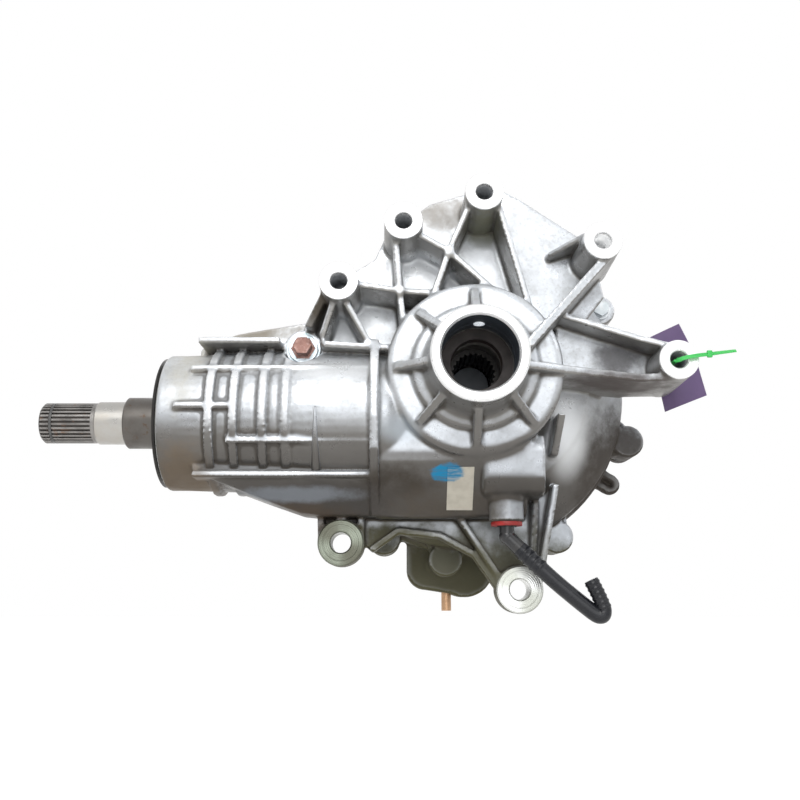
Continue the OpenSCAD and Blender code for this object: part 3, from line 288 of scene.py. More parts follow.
def nearTo(tree, centre, size):  # 0 at the centre, 1 at the size (mm, one for each axis)
    m = tree.nodes.new("ShaderNodeMapping")
    m.vector_type = "POINT"
    m.inputs["Scale"].default_value = [1 / (s * mm) for s in size]
    m.inputs["Location"].default_value = [-c / s for c, s in zip(centre, size)]
    tree.links.new(place(tree), m.inputs["Vector"])
    n = tree.nodes.new("ShaderNodeVectorMath")
    n.operation = "LENGTH"
    tree.links.new(m.outputs["Vector"], n.inputs[0])
    return n.outputs["Value"]


def addBump(tree, shader, height, depth, strength=1.0, before=None):
    n = tree.nodes.new("ShaderNodeBump")
    n.inputs["Strength"].default_value = strength
    n.inputs["Distance"].default_value = depth * mm
    tree.links.new(height, n.inputs["Height"])
    if before:
        tree.links.new(before, n.inputs["Normal"])
    tree.links.new(n.outputs["Normal"], shader.inputs["Normal"])
    return n.outputs["Normal"]


# cast aluminium

castLook = {
    "bright": (0.66, 0.69, 0.73),
    "dull": (0.46, 0.475, 0.49),
    "shade": (0.25, 0.24, 0.225),  # undersides of the upper ribs
    "underShade": (0.046, 0.038, 0.030),  # painted shade, dark brown, where the lower half faces down
    "low": (0.33, 0.35, 0.38),  # darker towards the bottom: road film, and painted shade where less light reaches the lower half
    "side": (0.30, 0.295, 0.285),  # painted shade on the flanks that face the input shaft, also the grain's random darker tone
    "cornerShadeGrime": (0.066, 0.056, 0.045),  # painted shade in corners and pockets, with a grime-brown tint
    "wornEdgeHighlight": (0.86, 0.875, 0.89),  # on outer edges: wear, and painted highlight on edges that face up in the upper half
    "lowFilmAndShadeBand": (0.05, -0.07),  # heights between which the darker lower tone comes on
    "lowFilmAndShadeShare": 0.80, "sideShadeShare": 0.65, "underShadeShare": 0.94, "hollowShadeShare": 0.75,
    "ridge": 0.8,  # how strongly the edges show
    "metal": 0.42,
    "rough": (0.24, 0.42),
    "stainsAndShade": [  # dirt, road film and painted shade: centre, size, colour, strength
        ((-178, 0, -4), (24, 60, 46), (0.60, 0.575, 0.50), 0.7),
        ((-178, -10, -66), (26, 70, 30), (0.20, 0.155, 0.11), 0.8),
        ((-146, 4, 36), (46, 20, 17), (0.37, 0.335, 0.285), 1.0),
        ((-97, -20, 46), (13, 44, 22), (0.085, 0.07, 0.052), 0.9),
        ((-16, 4, 114), (40, 26, 19), (0.43, 0.40, 0.365), 0.9),
        ((8, -24, 97), (15, 40, 11), (0.24, 0.24, 0.17), 0.8),
        ((36, 4, 84), (34, 20, 46), (0.56, 0.57, 0.585), 0.55),
        ((-46, -40, -76), (44, 30, 22), (0.058, 0.047, 0.036), 0.9),
        ((-90, -26, -80), (66, 34, 17), (0.085, 0.078, 0.073), 0.85),
        ((-58, -2, -98), (52, 16, 14), (0.090, 0.084, 0.048), 0.95),
        ((92, -12, 12), (24, 34, 17), (0.150, 0.145, 0.150), 0.85),
        # painted shade on the arm's lower flank
        ((88, -30, -8), (50, 34, 14), (0.100, 0.085, 0.080), 0.9),
        ((-20, 36, -128), (150, 120, 50), (0.105, 0.100, 0.058), 0.9),
        ((-20, -36, -86), (60, 40, 20), (0.11, 0.093, 0.075), 0.7),
        ((-118, -10, -90), (60, 50, 16), (0.10, 0.075, 0.055), 0.8),
        ((-108, -16, -74), (52, 30, 6), (0.25, 0.27, 0.30), 0.9),
        # painted shade on the cover's lower right
        ((104, 30, -58), (48, 110, 60), (0.070, 0.060, 0.052), 0.9),
    ],
    "paintedLightPatches": [  # painted light: bright patches where light falls, over the dirt and shade: centre, size, colour, strength
        ((60, 12, -29), (22, 34, 37), (0.86, 0.88, 0.90), 0.95),
        ((8, -8, 78), (15, 20, 22), (0.60, 0.62, 0.65), 0.8),
        ((-26, -8, 76), (36, 20, 24), (0.84, 0.86, 0.88), 0.8),
        ((-76, -8, 40), (26, 20, 22), (0.74, 0.76, 0.78), 0.7),
        ((-88, -46, 4), (40, 16, 14), (0.86, 0.88, 0.90), 0.8),
        ((-46, -34, -36), (24, 20, 13), (0.46, 0.51, 0.56), 0.7),
    ],
}
# a darker copy of the cast finish for the side cover at the back: painted shade
shadedBackLook = dict(castLook, bright=(0.36, 0.355, 0.345), dull=(0.24, 0.235, 0.225),
                low=(0.155, 0.148, 0.145), ridge=0.35, rough=(0.3, 0.5))


def castMaterial(name, c):
    mat, tree, shader = startMaterial(name)
    cloud = speckle(tree, 60, 6, 0.68)
    patch = speckle(tree, 11, 3, 0.5)
    grain = speckle(tree, 420, 3, 0.55)
    pits = speckle(tree, 1500, 2, 0.5)
    colour = blendColour(tree, spread(tree, cloud, 0.36, 0.70, 0, 0.8), c["bright"], c["dull"])
    colour = blendColour(tree, spread(tree, grain, 0.48, 0.74, 0, 0.35), colour, c["side"])
    # darker towards the bottom: road film and painted shade
    low = spread(tree, plus(tree, coordinate(tree, "Z"), times(tree, patch, 0.06)), *c["lowFilmAndShadeBand"])
    colour = blendColour(tree, times(tree, low, c["lowFilmAndShadeShare"]), colour, c["low"])
    # painted shade on the flanks that face the input shaft
    across = spread(tree, facing(tree, "X"), -0.30, -0.95)
    colour = blendColour(tree, times(tree, across, c["sideShadeShare"]), colour, c["side"])
    # painted shade on faces that point down: the shade colour above, the darker under-shade in the
    # lower half
    down = spread(tree, plus(tree, facing(tree, "Z"), times(tree, patch, 0.3)), 0.20, -0.22)
    paintedUnderShade = blendColour(tree, low, c["shade"], c["underShade"])
    colour = blendColour(tree, times(tree, down, c["underShadeShare"]), colour, paintedUnderShade)
    matt = 0.0
    # stains and painted shade patches
    for centre, size, tone, strength in c["stainsAndShade"]:
        ragged = times(tree, speckle(tree, 70, 5, 0.7), 0.9)
        mask = spread(tree, plus(tree, nearTo(tree, centre, size), ragged), 1.45, 0.85)
        mask = times(tree, mask, strength)
        colour = blendColour(tree, mask, colour, tone)
        matt = calc(tree, "MAXIMUM", matt, mask)
    # painted shade: darker in hollows and pockets, by how deep each point lies
    pocket = spread(tree, measure(tree, "pocket"), 0.3, 2.6)
    hollow = spread(tree, measure(tree, "hollow"), 0.05, 0.30)
    pocket = times(tree, pocket, spread(tree, low, 0, 1, 0.25, 0.6))
    cornerShadeMask = calc(tree, "MAXIMUM", pocket, times(tree, hollow, c["hollowShadeShare"]))
    cornerShadeMask = times(tree, cornerShadeMask, spread(tree, patch, 0.25, 0.6, 0.6, 1))
    colour = blendColour(tree, cornerShadeMask, colour, c["cornerShadeGrime"])
    # painted light: bright patches laid over the dirt and shade
    for centre, size, tone, strength in c["paintedLightPatches"]:
        mask = plus(tree, nearTo(tree, centre, size), times(tree, patch, 0.3))
        mask = spread(tree, mask, 1.2, 0.55, 0, strength)
        colour = blendColour(tree, mask, colour, tone)
    # wear and painted highlight on outer edges, kept off downward faces and fainter on the lower
    # half
    ridge = spread(tree, measure(tree, "hollow"), -0.06, -0.5, 0, c["ridge"])
    ridge = times(tree, ridge, spread(tree, down, 0.9, 0.2))
    ridge = times(tree, ridge, spread(tree, low, 0, 1, 1, 0.6))
    colour = blendColour(tree, ridge, colour, c["wornEdgeHighlight"])
    tree.links.new(colour, shader.inputs["Base Color"])
    rough = spread(tree, cloud, 0.3, 0.7, c["rough"][0], c["rough"][1])
    matt = calc(tree, "MAXIMUM", matt, cornerShadeMask)
    tree.links.new(plus(tree, rough, times(tree, matt, 0.25)), shader.inputs["Roughness"])
    tree.links.new(spread(tree, matt, 0, 1, c["metal"], 0.05), shader.inputs["Metallic"])
    matt = calc(tree, "MAXIMUM", matt, times(tree, down, low))
    tree.links.new(spread(tree, matt, 0, 1, 0.5, 0.12), shader.inputs["Specular IOR Level"])
    wave = speckle(tree, 95, 3, 0.55)
    first = addBump(tree, shader, wave, 0.5, 0.4)
    second = addBump(tree, shader, grain, 0.09, 0.5, first)
    addBump(tree, shader, pits, 0.02, 0.3, second)
    return mat, tree, shader, colour


paintSmear = {"centre": (-18, -34, -62.4), "size": (13.5, 20, 6.6), "colour": (0.015, 0.23, 0.44)}


def paintOver(tree, shader, colour):
    wobble = times(tree, speckle(tree, 70, 4, 0.7), 1.1)
    reach = nearTo(tree, paintSmear["centre"], paintSmear["size"])
    mask = spread(tree, plus(tree, reach, wobble), 1.50, 1.22)
    streak = spread(tree, speckle(tree, 60, 3, 0.7, (1, 1, 9)), 0.35, 0.6, 0.45, 1)
    colour = blendColour(tree, times(tree, mask, streak), colour, paintSmear["colour"])
    tree.links.new(colour, shader.inputs["Base Color"])


castFront, tree, shader, colour = castMaterial("castAluminium", castLook)
paintOver(tree, shader, colour)
castBackShaded = castMaterial("castAluminiumBackShaded", shadedBackLook)[0]


# machined faces, bolts, shafts and the rest

def metalMaterial(name, tone, dark, rough=0.3, metal=0.9, scale=60, grain=400, depth=0.03,
                  rings=0, spots=None, share=0.6, paintedSheen=0):
    mat, tree, shader = startMaterial(name)
    cloud = speckle(tree, scale, 4, 0.6)
    colour = blendColour(tree, spread(tree, cloud, 0.35, 0.75, 0, share), tone, dark)
    if paintedSheen:  # painted reflection: light and dark fans round the axis, where light catches the turning marks
        fan = tree.nodes.new("ShaderNodeTexGradient")
        fan.gradient_type = "RADIAL"
        tree.links.new(place(tree), fan.inputs["Vector"])
        turn = times(tree, plus(tree, fan.outputs["Fac"], 0.12), 4 * math.pi)
        fan = spread(tree, calc(tree, "COSINE", turn), -0.6, 1, 0, paintedSheen)
        colour = blendColour(tree, fan, colour, dark)
    if spots:  # spots is a colour, with its cover from 0 to 1
        mask = spread(tree, speckle(tree, scale * 2.5, 5, 0.7), 0.66 - spots[1] * 0.3, 0.72)
        colour = blendColour(tree, mask, colour, spots[0])
    tree.links.new(colour, shader.inputs["Base Color"])
    tree.links.new(spread(tree, cloud, 0.3, 0.7, rough * 0.8, min(1, rough * 1.3)),
                   shader.inputs["Roughness"])
    shader.inputs["Metallic"].default_value = metal
    height = speckle(tree, grain, 3, 0.6)
    if rings:  # turning marks round the piece's own axis
        w = tree.nodes.new("ShaderNodeTexWave")
        w.wave_type, w.rings_direction = "RINGS", "Z"
        w.inputs["Scale"].default_value = rings
        w.inputs["Distortion"].default_value = 0.6
        w.inputs["Detail"].default_value = 2
        tree.links.new(place(tree), w.inputs["Vector"])
        height = plus(tree, times(tree, height, 0.35), w.outputs["Fac"])
    addBump(tree, shader, height, depth, 0.5)
    return mat


def mouldedMaterial(name, tone, other, rough=0.5, scale=90, grain=500, depth=0.05, share=0.7,
                    shine=0.5):
    mat, tree, shader = startMaterial(name)
    cloud = speckle(tree, scale, 4, 0.6)
    colour = blendColour(tree, spread(tree, cloud, 0.35, 0.7, 0, share), tone, other)
    tree.links.new(colour, shader.inputs["Base Color"])
    tree.links.new(spread(tree, cloud, 0.3, 0.7, rough * 0.85, min(1, rough * 1.2)),
                   shader.inputs["Roughness"])
    shader.inputs["Specular IOR Level"].default_value = shine
    addBump(tree, shader, speckle(tree, grain, 3, 0.6), depth, 0.5)
    return mat


finishes = {
    "machined": metalMaterial("machinedFace", (0.90, 0.905, 0.91), (0.74, 0.74, 0.73), 0.30, 0.55,
                              90, 300, 0.02, rings=420, share=0.5),
    "earFace": metalMaterial("turnedEarFace", (0.66, 0.67, 0.655), (0.36, 0.37, 0.325), 0.26, 0.75,
                             60, 300, 0.05, rings=260, share=0.5, paintedSheen=0.8),
    "oliveFace": metalMaterial("turnedEarOlive", (0.21, 0.23, 0.185), (0.10, 0.10, 0.075), 0.30,
                               0.7, 60, 300, 0.05, rings=260, share=0.5, paintedSheen=0.9),
    # near black: painted shade inside the collar's bore, and on the thrust block seen through it
    "boreInShade": metalMaterial("boreShadeDark", (0.045, 0.055, 0.070), (0.020, 0.024, 0.030), 0.45, 0.0,
                              50, 300, 0.02),
    # near black: gear oil, and painted shade on the gears deep in the bore
    "oilyGearInShade": metalMaterial("oilyGearInShade", (0.030, 0.028, 0.026), (0.010, 0.009, 0.008), 0.45, 0.6,
                              80, 500, 0.02),
    # darker than the machined faces: painted shade inside the bolt holes
    "boreWallInShade": metalMaterial("boltBoreShade", (0.27, 0.28, 0.29), (0.12, 0.12, 0.13), 0.4, 0.5, 80, 300,
                              0.03),
    "zinc": metalMaterial("zincSteel", (0.66, 0.68, 0.70), (0.38, 0.44, 0.46), 0.35, 0.8, 120, 500,
                          0.02, spots=((0.30, 0.26, 0.18), 0.25)),
    "bright": metalMaterial("groundSteel", (0.74, 0.73, 0.71), (0.50, 0.48, 0.46), 0.22, 0.95, 120,
                            900, 0.01),
    "rust": metalMaterial("rustedHead", (0.36, 0.19, 0.155), (0.16, 0.085, 0.07), 0.55, 0.3, 160,
                          700, 0.10, spots=((0.60, 0.42, 0.38), 0.6)),
    "washer": metalMaterial("washerAlloy", (0.62, 0.67, 0.72), (0.34, 0.44, 0.46), 0.36, 0.7, 150,
                            500, 0.02, spots=((0.20, 0.30, 0.28), 0.3)),
    "copper": metalMaterial("copperPipe", (0.55, 0.34, 0.20), (0.28, 0.17, 0.10), 0.42, 0.7, 150,
                            500, 0.04),
    "gear": metalMaterial("gearSteel", (0.40, 0.40, 0.41), (0.24, 0.24, 0.25), 0.30, 0.95, 80, 600,
                          0.02),
    "race": metalMaterial("raceSteel", (0.62, 0.62, 0.63), (0.42, 0.42, 0.44), 0.18, 0.95, 80, 900,
                          0.01),
    "cage": metalMaterial("cageSteel", (0.36, 0.35, 0.33), (0.22, 0.21, 0.20), 0.4, 0.85, 90, 500,
                          0.02),
    "caseIron": metalMaterial("caseIron", (0.20, 0.19, 0.18), (0.11, 0.10, 0.09), 0.55, 0.6, 60,
                              300, 0.12),
    "blackSteel": metalMaterial("blackSteel", (0.050, 0.048, 0.046), (0.022, 0.021, 0.020), 0.42,
                                0.7, 90, 400, 0.03),
    "sleeve": metalMaterial("sleeveSteel", (0.13, 0.12, 0.11), (0.070, 0.060, 0.052), 0.36, 0.5,
                            70, 400, 0.04, spots=((0.10, 0.055, 0.03), 0.35)),
    "spring": metalMaterial("springSteel", (0.12, 0.12, 0.12), (0.05, 0.05, 0.05), 0.35, 0.85, 90,
                            500, 0.02),
    "bronze": metalMaterial("washerBronze", (0.50, 0.36, 0.18), (0.32, 0.22, 0.11), 0.34, 0.85, 90,
                            500, 0.02),
    "shim": metalMaterial("shimSteel", (0.55, 0.55, 0.56), (0.38, 0.38, 0.38), 0.28, 0.9, 90, 600,
                          0.01),
    "gasket": mouldedMaterial("gasketGrey", (0.16, 0.16, 0.165), (0.08, 0.08, 0.08), 0.7),
    "elbow": mouldedMaterial("elbowPlastic", (0.018, 0.018, 0.020), (0.040, 0.038, 0.036), 0.26, 60,
                             700, 0.02),
    "clip": mouldedMaterial("redClip", (0.42, 0.020, 0.018), (0.20, 0.018, 0.016), 0.42, 160, 600,
                            0.03),
    "rubber": mouldedMaterial("hoseRubber", (0.010, 0.011, 0.015), (0.026, 0.027, 0.031), 0.30, 50,
                              900, 0.04, shine=0.33),
    "seal": mouldedMaterial("sealRubber", (0.016, 0.009, 0.007), (0.006, 0.005, 0.005), 0.6, 90,
                            700, 0.03),
    "label": mouldedMaterial("labelPaper", (0.66, 0.62, 0.53), (0.54, 0.50, 0.42), 0.62, 130, 900,
                             0.02),
    "tag": mouldedMaterial("purpleTag", (0.105, 0.065, 0.16), (0.15, 0.095, 0.21), 0.48, 45, 400,
                           0.05),
    "tie": mouldedMaterial("greenTie", (0.04, 0.56, 0.10), (0.10, 0.68, 0.16), 0.35, 60, 400, 0.02),
}

finishOf = {
    "cover_gasket": "gasket", "cover_bolts": "zinc", "cover_dowels": "bright",
    "fill_plug": "rust", "fill_plug_washer": "washer", "drain_plug": "rust",
    "drain_plug_washer": "washer", "drain_stub": "copper", "breather_elbow": "elbow",
    "breather_clip": "clip", "axle_seal_near": "seal", "axle_seal_far": "seal",
    "pinion_seal": "seal", "near_shim": "shim", "far_shim": "shim", "pinion_shim": "shim",
    "crush_sleeve": "shim", "pinion_nut": "blackSteel", "input_sleeve": "sleeve",
    "dust_shield": "blackSteel", "shaft_circlip": "spring", "ring_gear": "gear",
    "ring_gear_bolts": "blackSteel", "diff_case": "caseIron", "cross_pin": "oilyGearInShade",
    "cross_pin_lock": "spring", "thrust_block": "boreInShade",
    "spider_gear_top": "gear", "spider_gear_bottom": "gear",
    "spider_washer_top": "bronze", "spider_washer_bottom": "bronze", "side_gear_near": "oilyGearInShade",
    "side_gear_far": "oilyGearInShade", "side_washer_near": "bronze", "side_washer_far": "bronze",
    "label_plate": "label",
}
for seat in ("near", "far", "head", "tail"):
    for part, finish in (("cup", "race"), ("cone", "race"), ("rollers", "race"), ("cage", "cage")):
        finishOf[seat + "_bearing_" + part] = finish
labelTree = finishes["label"].node_tree
labelShader = labelTree.nodes["Principled BSDF"]
paintOver(labelTree, labelShader, labelShader.inputs["Base Color"].links[0].from_socket)


# the pinion shaft: dark spline with bright teeth tops, a ground journal, and the gear

shaftLook = {
    "flank": (0.045, 0.040, 0.037),
    "top": (0.27, 0.26, 0.25),
    "journal": (0.44, 0.43, 0.41),
    "journalDull": (0.42, 0.38, 0.33),
    "gear": (0.34, 0.34, 0.35),
    "splineFrom": -239.5,
    "journalTo": -221,
    "topRadius": 12.4,
    "rust": (0.22, 0.12, 0.07),
}


def makeShaftMaterial(s):
    mat, tree, shader = startMaterial("shaftSteel")
    x = coordinate(tree, "X")
    m = tree.nodes.new("ShaderNodeMapping")
    m.inputs["Scale"].default_value = (0, 1, 1)
    m.inputs["Location"].default_value = (0, 0, pinionDrop * mm)
    tree.links.new(place(tree), m.inputs["Vector"])
    reach = tree.nodes.new("ShaderNodeVectorMath")
    reach.operation = "LENGTH"
    tree.links.new(m.outputs["Vector"], reach.inputs[0])
    reach = reach.outputs["Value"]
    cloud = speckle(tree, 90, 5, 0.65)
    top = spread(tree, reach, (s["topRadius"] - 0.5) * mm, (s["topRadius"] + 0.25) * mm)
    top = times(tree, top, spread(tree, cloud, 0.3, 0.6, 0.55, 1))
    spline = blendColour(tree, top, s["flank"], s["top"])
    spline = blendColour(tree, spread(tree, speckle(tree, 160, 4, 0.7), 0.55, 0.75, 0, 0.7), spline,
                         s["rust"])
    inSpline = spread(tree, x, (s["splineFrom"] + 1) * mm, (s["splineFrom"] - 1) * mm)
    inJournal = spread(tree, x, (s["journalTo"] + 1) * mm, (s["journalTo"] - 1) * mm)
    journal = blendColour(tree, spread(tree, cloud, 0.4, 0.75, 0, 0.6), s["journal"],
                          s["journalDull"])
    colour = blendColour(tree, inJournal, s["gear"], journal)
    colour = blendColour(tree, inSpline, colour, spline)
    tree.links.new(colour, shader.inputs["Base Color"])
    shader.inputs["Metallic"].default_value = 0.8
    tree.links.new(spread(tree, cloud, 0.3, 0.7, 0.26, 0.44), shader.inputs["Roughness"])
    addBump(tree, shader, speckle(tree, 500, 3, 0.6, (4, 1, 1)), 0.02, 0.5)
    return mat


def dressNodes():
    shaft = makeShaftMaterial(shaftLook)
    for name, obj in nodes.items():
        if name == "pinion":
            mat = shaft
        elif name in finishOf:
            mat = finishes[finishOf[name]]
        else:
            mat = castFront
        if not obj.material_slots:
            obj.data.materials.append(mat)
        for s in obj.material_slots:
            s.material = mat
    hosePiece.data.materials.append(finishes["rubber"])
    print("finishes:", len(finishes) + 3)


dressNodes()


# cast skins: the CAD casting with the fillets and soft edges of a die casting

skins = {
    "main_housing": {"grid": 0.8, "steps": 4, "material": castFront, "slot": "cast_aluminium",
                     "rounder": [((14, -30, -62), (27, 26, 24), 60)],
                     "crisper": [((-130, -30, -26), (50, 42, 46), 1.3)]},
    "side_cover": {"grid": 1.2, "steps": 3, "material": castBackShaded, "slot": "cast_aluminium_back",
                   "rounder": [], "crisper": []},
}
smoothing = {
    "gridTurn": (0.61, 0.43),  # slants the grid about Y and X, so that no rib runs along it
    "evenOut": 30, "forward": 0.6, "backward": -0.61,  # takes its steps out and keeps the ribs
    "nearSteps": 12, "wideSteps": 90,  # how far round a point the hollows and pockets reach
    "calmSteps": 5,  # evens out what those two measure
}


def relaxer(mesh):
    count = len(mesh.vertices)
    pairs = np.empty(len(mesh.edges) * 2, np.int32)
    mesh.edges.foreach_get("vertices", pairs)
    a, b = pairs.reshape(-1, 2).T
    degree = np.bincount(pairs, minlength=count)[:, None]

    def relax(p, steps, share=0.5):
        for _ in range(steps):
            total = np.stack([np.bincount(a, p[b, k], count) + np.bincount(b, p[a, k], count)
                              for k in range(p.shape[1])], 1)
            p = p + share * (total / degree - p)
        return p

    return relax


def placeOf(mesh):
    p = np.empty(len(mesh.vertices) * 3, np.float32)
    mesh.vertices.foreach_get("co", p)
    return p.reshape(-1, 3).astype(np.float64)


def moveTo(mesh, p):
    mesh.vertices.foreach_set("co", p.astype(np.float32).ravel())
    mesh.update()


def normalsOf(mesh):
    n = np.empty(len(mesh.vertices) * 3, np.float32)
    mesh.vertex_normals.foreach_get("vector", n)
    return n.reshape(-1, 3)


def keepMeasure(mesh, name, values):
    mesh.attributes.new(name, "FLOAT", "POINT").data.foreach_set("value", values.astype(np.float32))


def gridMesh(node, size):  # the CAD shape, remeshed on a slanted grid
    data = nodes[node].data.copy()
    bm = bmesh.new()
    bm.from_mesh(data)
    bmesh.ops.remove_doubles(bm, verts=bm.verts, dist=1e-6)
    bm.to_mesh(data)
    bm.free()
    aboutY, aboutX = smoothing["gridTurn"]
    turn = Matrix.Rotation(aboutY, 4, "Y") @ Matrix.Rotation(aboutX, 4, "X")
    data.transform(turn)
    rough = bpy.data.objects.new(node + "_rough", data)
    bpy.context.scene.collection.objects.link(rough)
    grid = rough.modifiers.new("grid", "REMESH")
    grid.mode = "VOXEL"
    grid.voxel_size = size * mm
    grid.adaptivity = 0
    done = rough.evaluated_get(bpy.context.evaluated_depsgraph_get())
    mesh = bpy.data.meshes.new_from_object(done)
    bpy.data.objects.remove(rough)
    mesh.transform(turn.inverted())
    return mesh


def inside(p, centre, size, edge, fade):  # 1 in a soft-edged ellipsoid, 0 outside it
    away = np.linalg.norm((p / mm - centre) / size, axis=1)
    return np.clip((edge - away) / fade, 0, 1)[:, None]


def castSkin(node, c):
    mesh = gridMesh(node, c["grid"])
    relax = relaxer(mesh)
    p = placeOf(mesh)
    for _ in range(smoothing["evenOut"]):
        p = relax(relax(p, 1, smoothing["forward"]), 1, smoothing["backward"])
    p = relax(p, c["steps"])
    for centre, size, steps in c["rounder"]:  # corners with a larger radius
        share = inside(p, centre, size, edge=1.15, fade=0.3)
        p = p * (1 - share) + relax(p, steps) * share
    moveTo(mesh, p)
    out = normalsOf(mesh)
    near = relax(p, smoothing["nearSteps"])
    for centre, size, gain in c["crisper"]:  # low ribs stand out more
        share = inside(p, centre, size, edge=1.1, fade=0.2) * gain
        p = p + share * out * ((p - near) * out).sum(1)[:, None]
    moveTo(mesh, p)
    wide = relax(near, smoothing["wideSteps"])
    depths = np.stack([((away - p) * out).sum(1) / mm for away in (near, wide)], 1)
    depths = relax(depths, smoothing["calmSteps"])
    keepMeasure(mesh, "hollow", depths[:, 0])
    keepMeasure(mesh, "pocket", depths[:, 1])
    piece = addPiece(node + "_skin", mesh, "housing", c["material"])
    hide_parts(node)
    print("skin:", node, len(mesh.polygons), "faces")
    return piece


for node, c in skins.items():
    castSkin(node, c)


# machined rings, a hair proud of the casting, and the low fin round the barrel

bosses = {
    "centres": [(-83.3, 53.6), (-43.5, 92.9), (7.1, 112.2), (79.9, 79.8), (122.1, 3.9)],
    "walls": ("boreWallInShade", "boreWallInShade", "boreWallInShade", "machined", "boreWallInShade"),
    "outer": 12.0, "bore": 5.5, "front": 50, "chamfer": 0.7, "proud": 0.15,
}
ears = {
    "centres": [(-82.8, -102.5), (28.6, -131.3)],
    "outer": 14.7, "bore": 6.5, "front": 4, "length": 20, "step": 11.4, "stepDepth": 0.2,
    "proud": 0.4, "finish": ("oliveFace", "earFace"),
}


def makeBossRing(k, x, z):
    b = bosses
    inner, outer, top = b["bore"] - 0.15, b["outer"] - 0.05, b["front"] + b["proud"]
    face = [(inner + b["chamfer"], top), (outer - 0.4, top), (outer, top - 0.4), (outer, top - 3),
            (inner + 1.6, top - 3.5), (inner, top - 3.5), (inner, top - b["chamfer"])]
    addPiece("bossFace_%d" % k, lathe("bossFace", face), "housing",
             finishes["machined"], False, frontLine(x, z))
    wall = [(inner, 0.3), (inner, top - 3.45), (inner + 0.5, top - 3.45), (inner + 0.5, 0.3)]
    addPiece("bossBore_%d" % k, lathe("bossBore", wall, 96), "housing",
             finishes[b["walls"][k - 1]], True, frontLine(x, z))


def makeEarRing(k, x, z):
    e = ears
    inner, outer, top = e["bore"] - 0.15, e["outer"] - 0.2, e["front"] + e["proud"]
    low, back = top - e["stepDepth"], e["front"] - e["length"]
    ring = [(inner, back - 0.06), (inner, low - 0.8), (inner + 0.8, low), (e["step"] - 0.3, low),
            (e["step"], top), (outer - 0.9, top), (outer, top - 0.7), (outer, top - 2.5),
            (inner + 1, top - 3), (inner + 1, back + 2.5), (outer, back + 2), (outer, back + 0.3),
            (outer - 0.4, back - 0.06)]
    addPiece("earFace_%d" % k, lathe("earFace", ring), "housing",
             finishes[e["finish"][k - 1]], False, frontLine(x, z))


collar = {"bore": 22.5, "outer": 28.5, "front": 82, "back": 101, "sealNear": 52.6, "sealFar": 93.6}


def makeCollarFaces(c):
    b, o = c["bore"] - 0.2, c["outer"] + 0.1
    top, low = c["front"] + 0.15, c["sealNear"]
    face = [(b, top - 1.5), (b + 1.1, top), (o - 1.3, top), (o, top - 1.3), (o, top - 3.4),
            (o - 1.5, top - 4), (b + 1.2, top - 4), (b, top - 2.2)]
    addPiece("collarFace", lathe("collarFace", face, 128), "housing",
             finishes["machined"], False, frontLine(0, 0))
    wall = [(b, low), (b, 61), (b - 0.25, 61.3), (b - 0.25, 62), (b, 62.3), (b, top - 2.25),
            (b + 0.4, top - 2.25), (b + 0.4, low)]
    addPiece("collarBore", lathe("collarBore", wall, 128), "housing",
             finishes["boreInShade"], False, frontLine(0, 0))
    rim = [(2.4, 0), (3.2, 0), (3.4, 0.9), (2.6, 0.9), (0.05, 0.8), (0.05, 0.4)]
    hole = lathe("oilHole", rim, 32)
    light, tree, shader = startMaterial("oilHoleLight")  # daylight through the drilling
    shader.inputs["Emission Color"].default_value = (0.85, 0.92, 1.0, 1)
    shader.inputs["Emission Strength"].default_value = 0.55
    addPiece("oilHole", hole, "housing", light, True,
             Matrix.Translation(Vector((1, -63, b - 0.75)) * mm))
    back, deep = -c["back"] - 0.06, -c["sealFar"]
    o = c["outer"] + 0.9
    face = [(b, back + 1.5), (b + 1.1, back), (o - 1.2, back), (o, back + 1.2), (o, back + 2.5),
            (b + 0.8, back + 3), (b + 0.8, deep), (b, deep)]
    addPiece("farCollarFace", lathe("farCollarFace", face, 128), "housing",
             finishes["machined"], False, frontLine(0, 0))


barrelMouth = {"outer": 43.5, "inner": 34.0, "end": 193, "band": 9}


def makeBarrelMouth(m):
    end, o, i = m["end"] + 0.06, m["outer"] - 0.9, m["inner"] + 0.1
    ring = [(i, end - m["band"] + 6.2), (i, end - 0.8), (i + 0.8, end), (o - 0.6, end),
            (o, end - 0.6), (o, end - 2), (i + 1, end - 2.6)]
    addPiece("barrelMouth", lathe("barrelMouth", ring, 128), "housing",
             finishes["earFace"], False, pinionLine())


barrelFin = {"at": -96.4, "radius": 47.0, "from": -60, "to": 2, "wide": 3.0}


def makeBarrelFin(f):
    path, turns = [], 30
    for k in range(turns + 1):
        a = math.radians(f["from"] + (f["to"] - f["from"]) * k / turns)
        path.append(Vector((f["at"], -f["radius"] * math.cos(a),
                            -pinionDrop + f["radius"] * math.sin(a))))
    full = pathLength(path)
    mesh = sweep("barrelFin", path, roundSection(f["wide"], 16),
                 lambda along: max(0.15, min(1, 1.25 - along / full)))
    addPiece("barrelFin", mesh, "housing", castFront)


makeBarrelFin(barrelFin)
for k, centre in enumerate(bosses["centres"], 1):
    makeBossRing(k, *centre)
for k, centre in enumerate(ears["centres"], 1):
    makeEarRing(k, *centre)
makeCollarFaces(collar)
makeBarrelMouth(barrelMouth)
print("machined faces and the barrel's fin done")


# hard small pieces: the CAD shape with its sharp edges broken

broken = {
    "cover_bolts": ("housing", "zinc_steel", "zinc", 0.35),
    "fill_plug": ("housing", "rusty_steel", "rust", 0.5),
    "drain_plug": ("housing", "rusty_steel", "rust", 0.5),
    "fill_plug_washer": ("housing", "washer_alloy", "washer", 0.25),
    "drain_plug_washer": ("housing", "washer_alloy", "washer", 0.25),
    "breather_clip": ("housing", "red_plastic", "clip", 0.3),
}


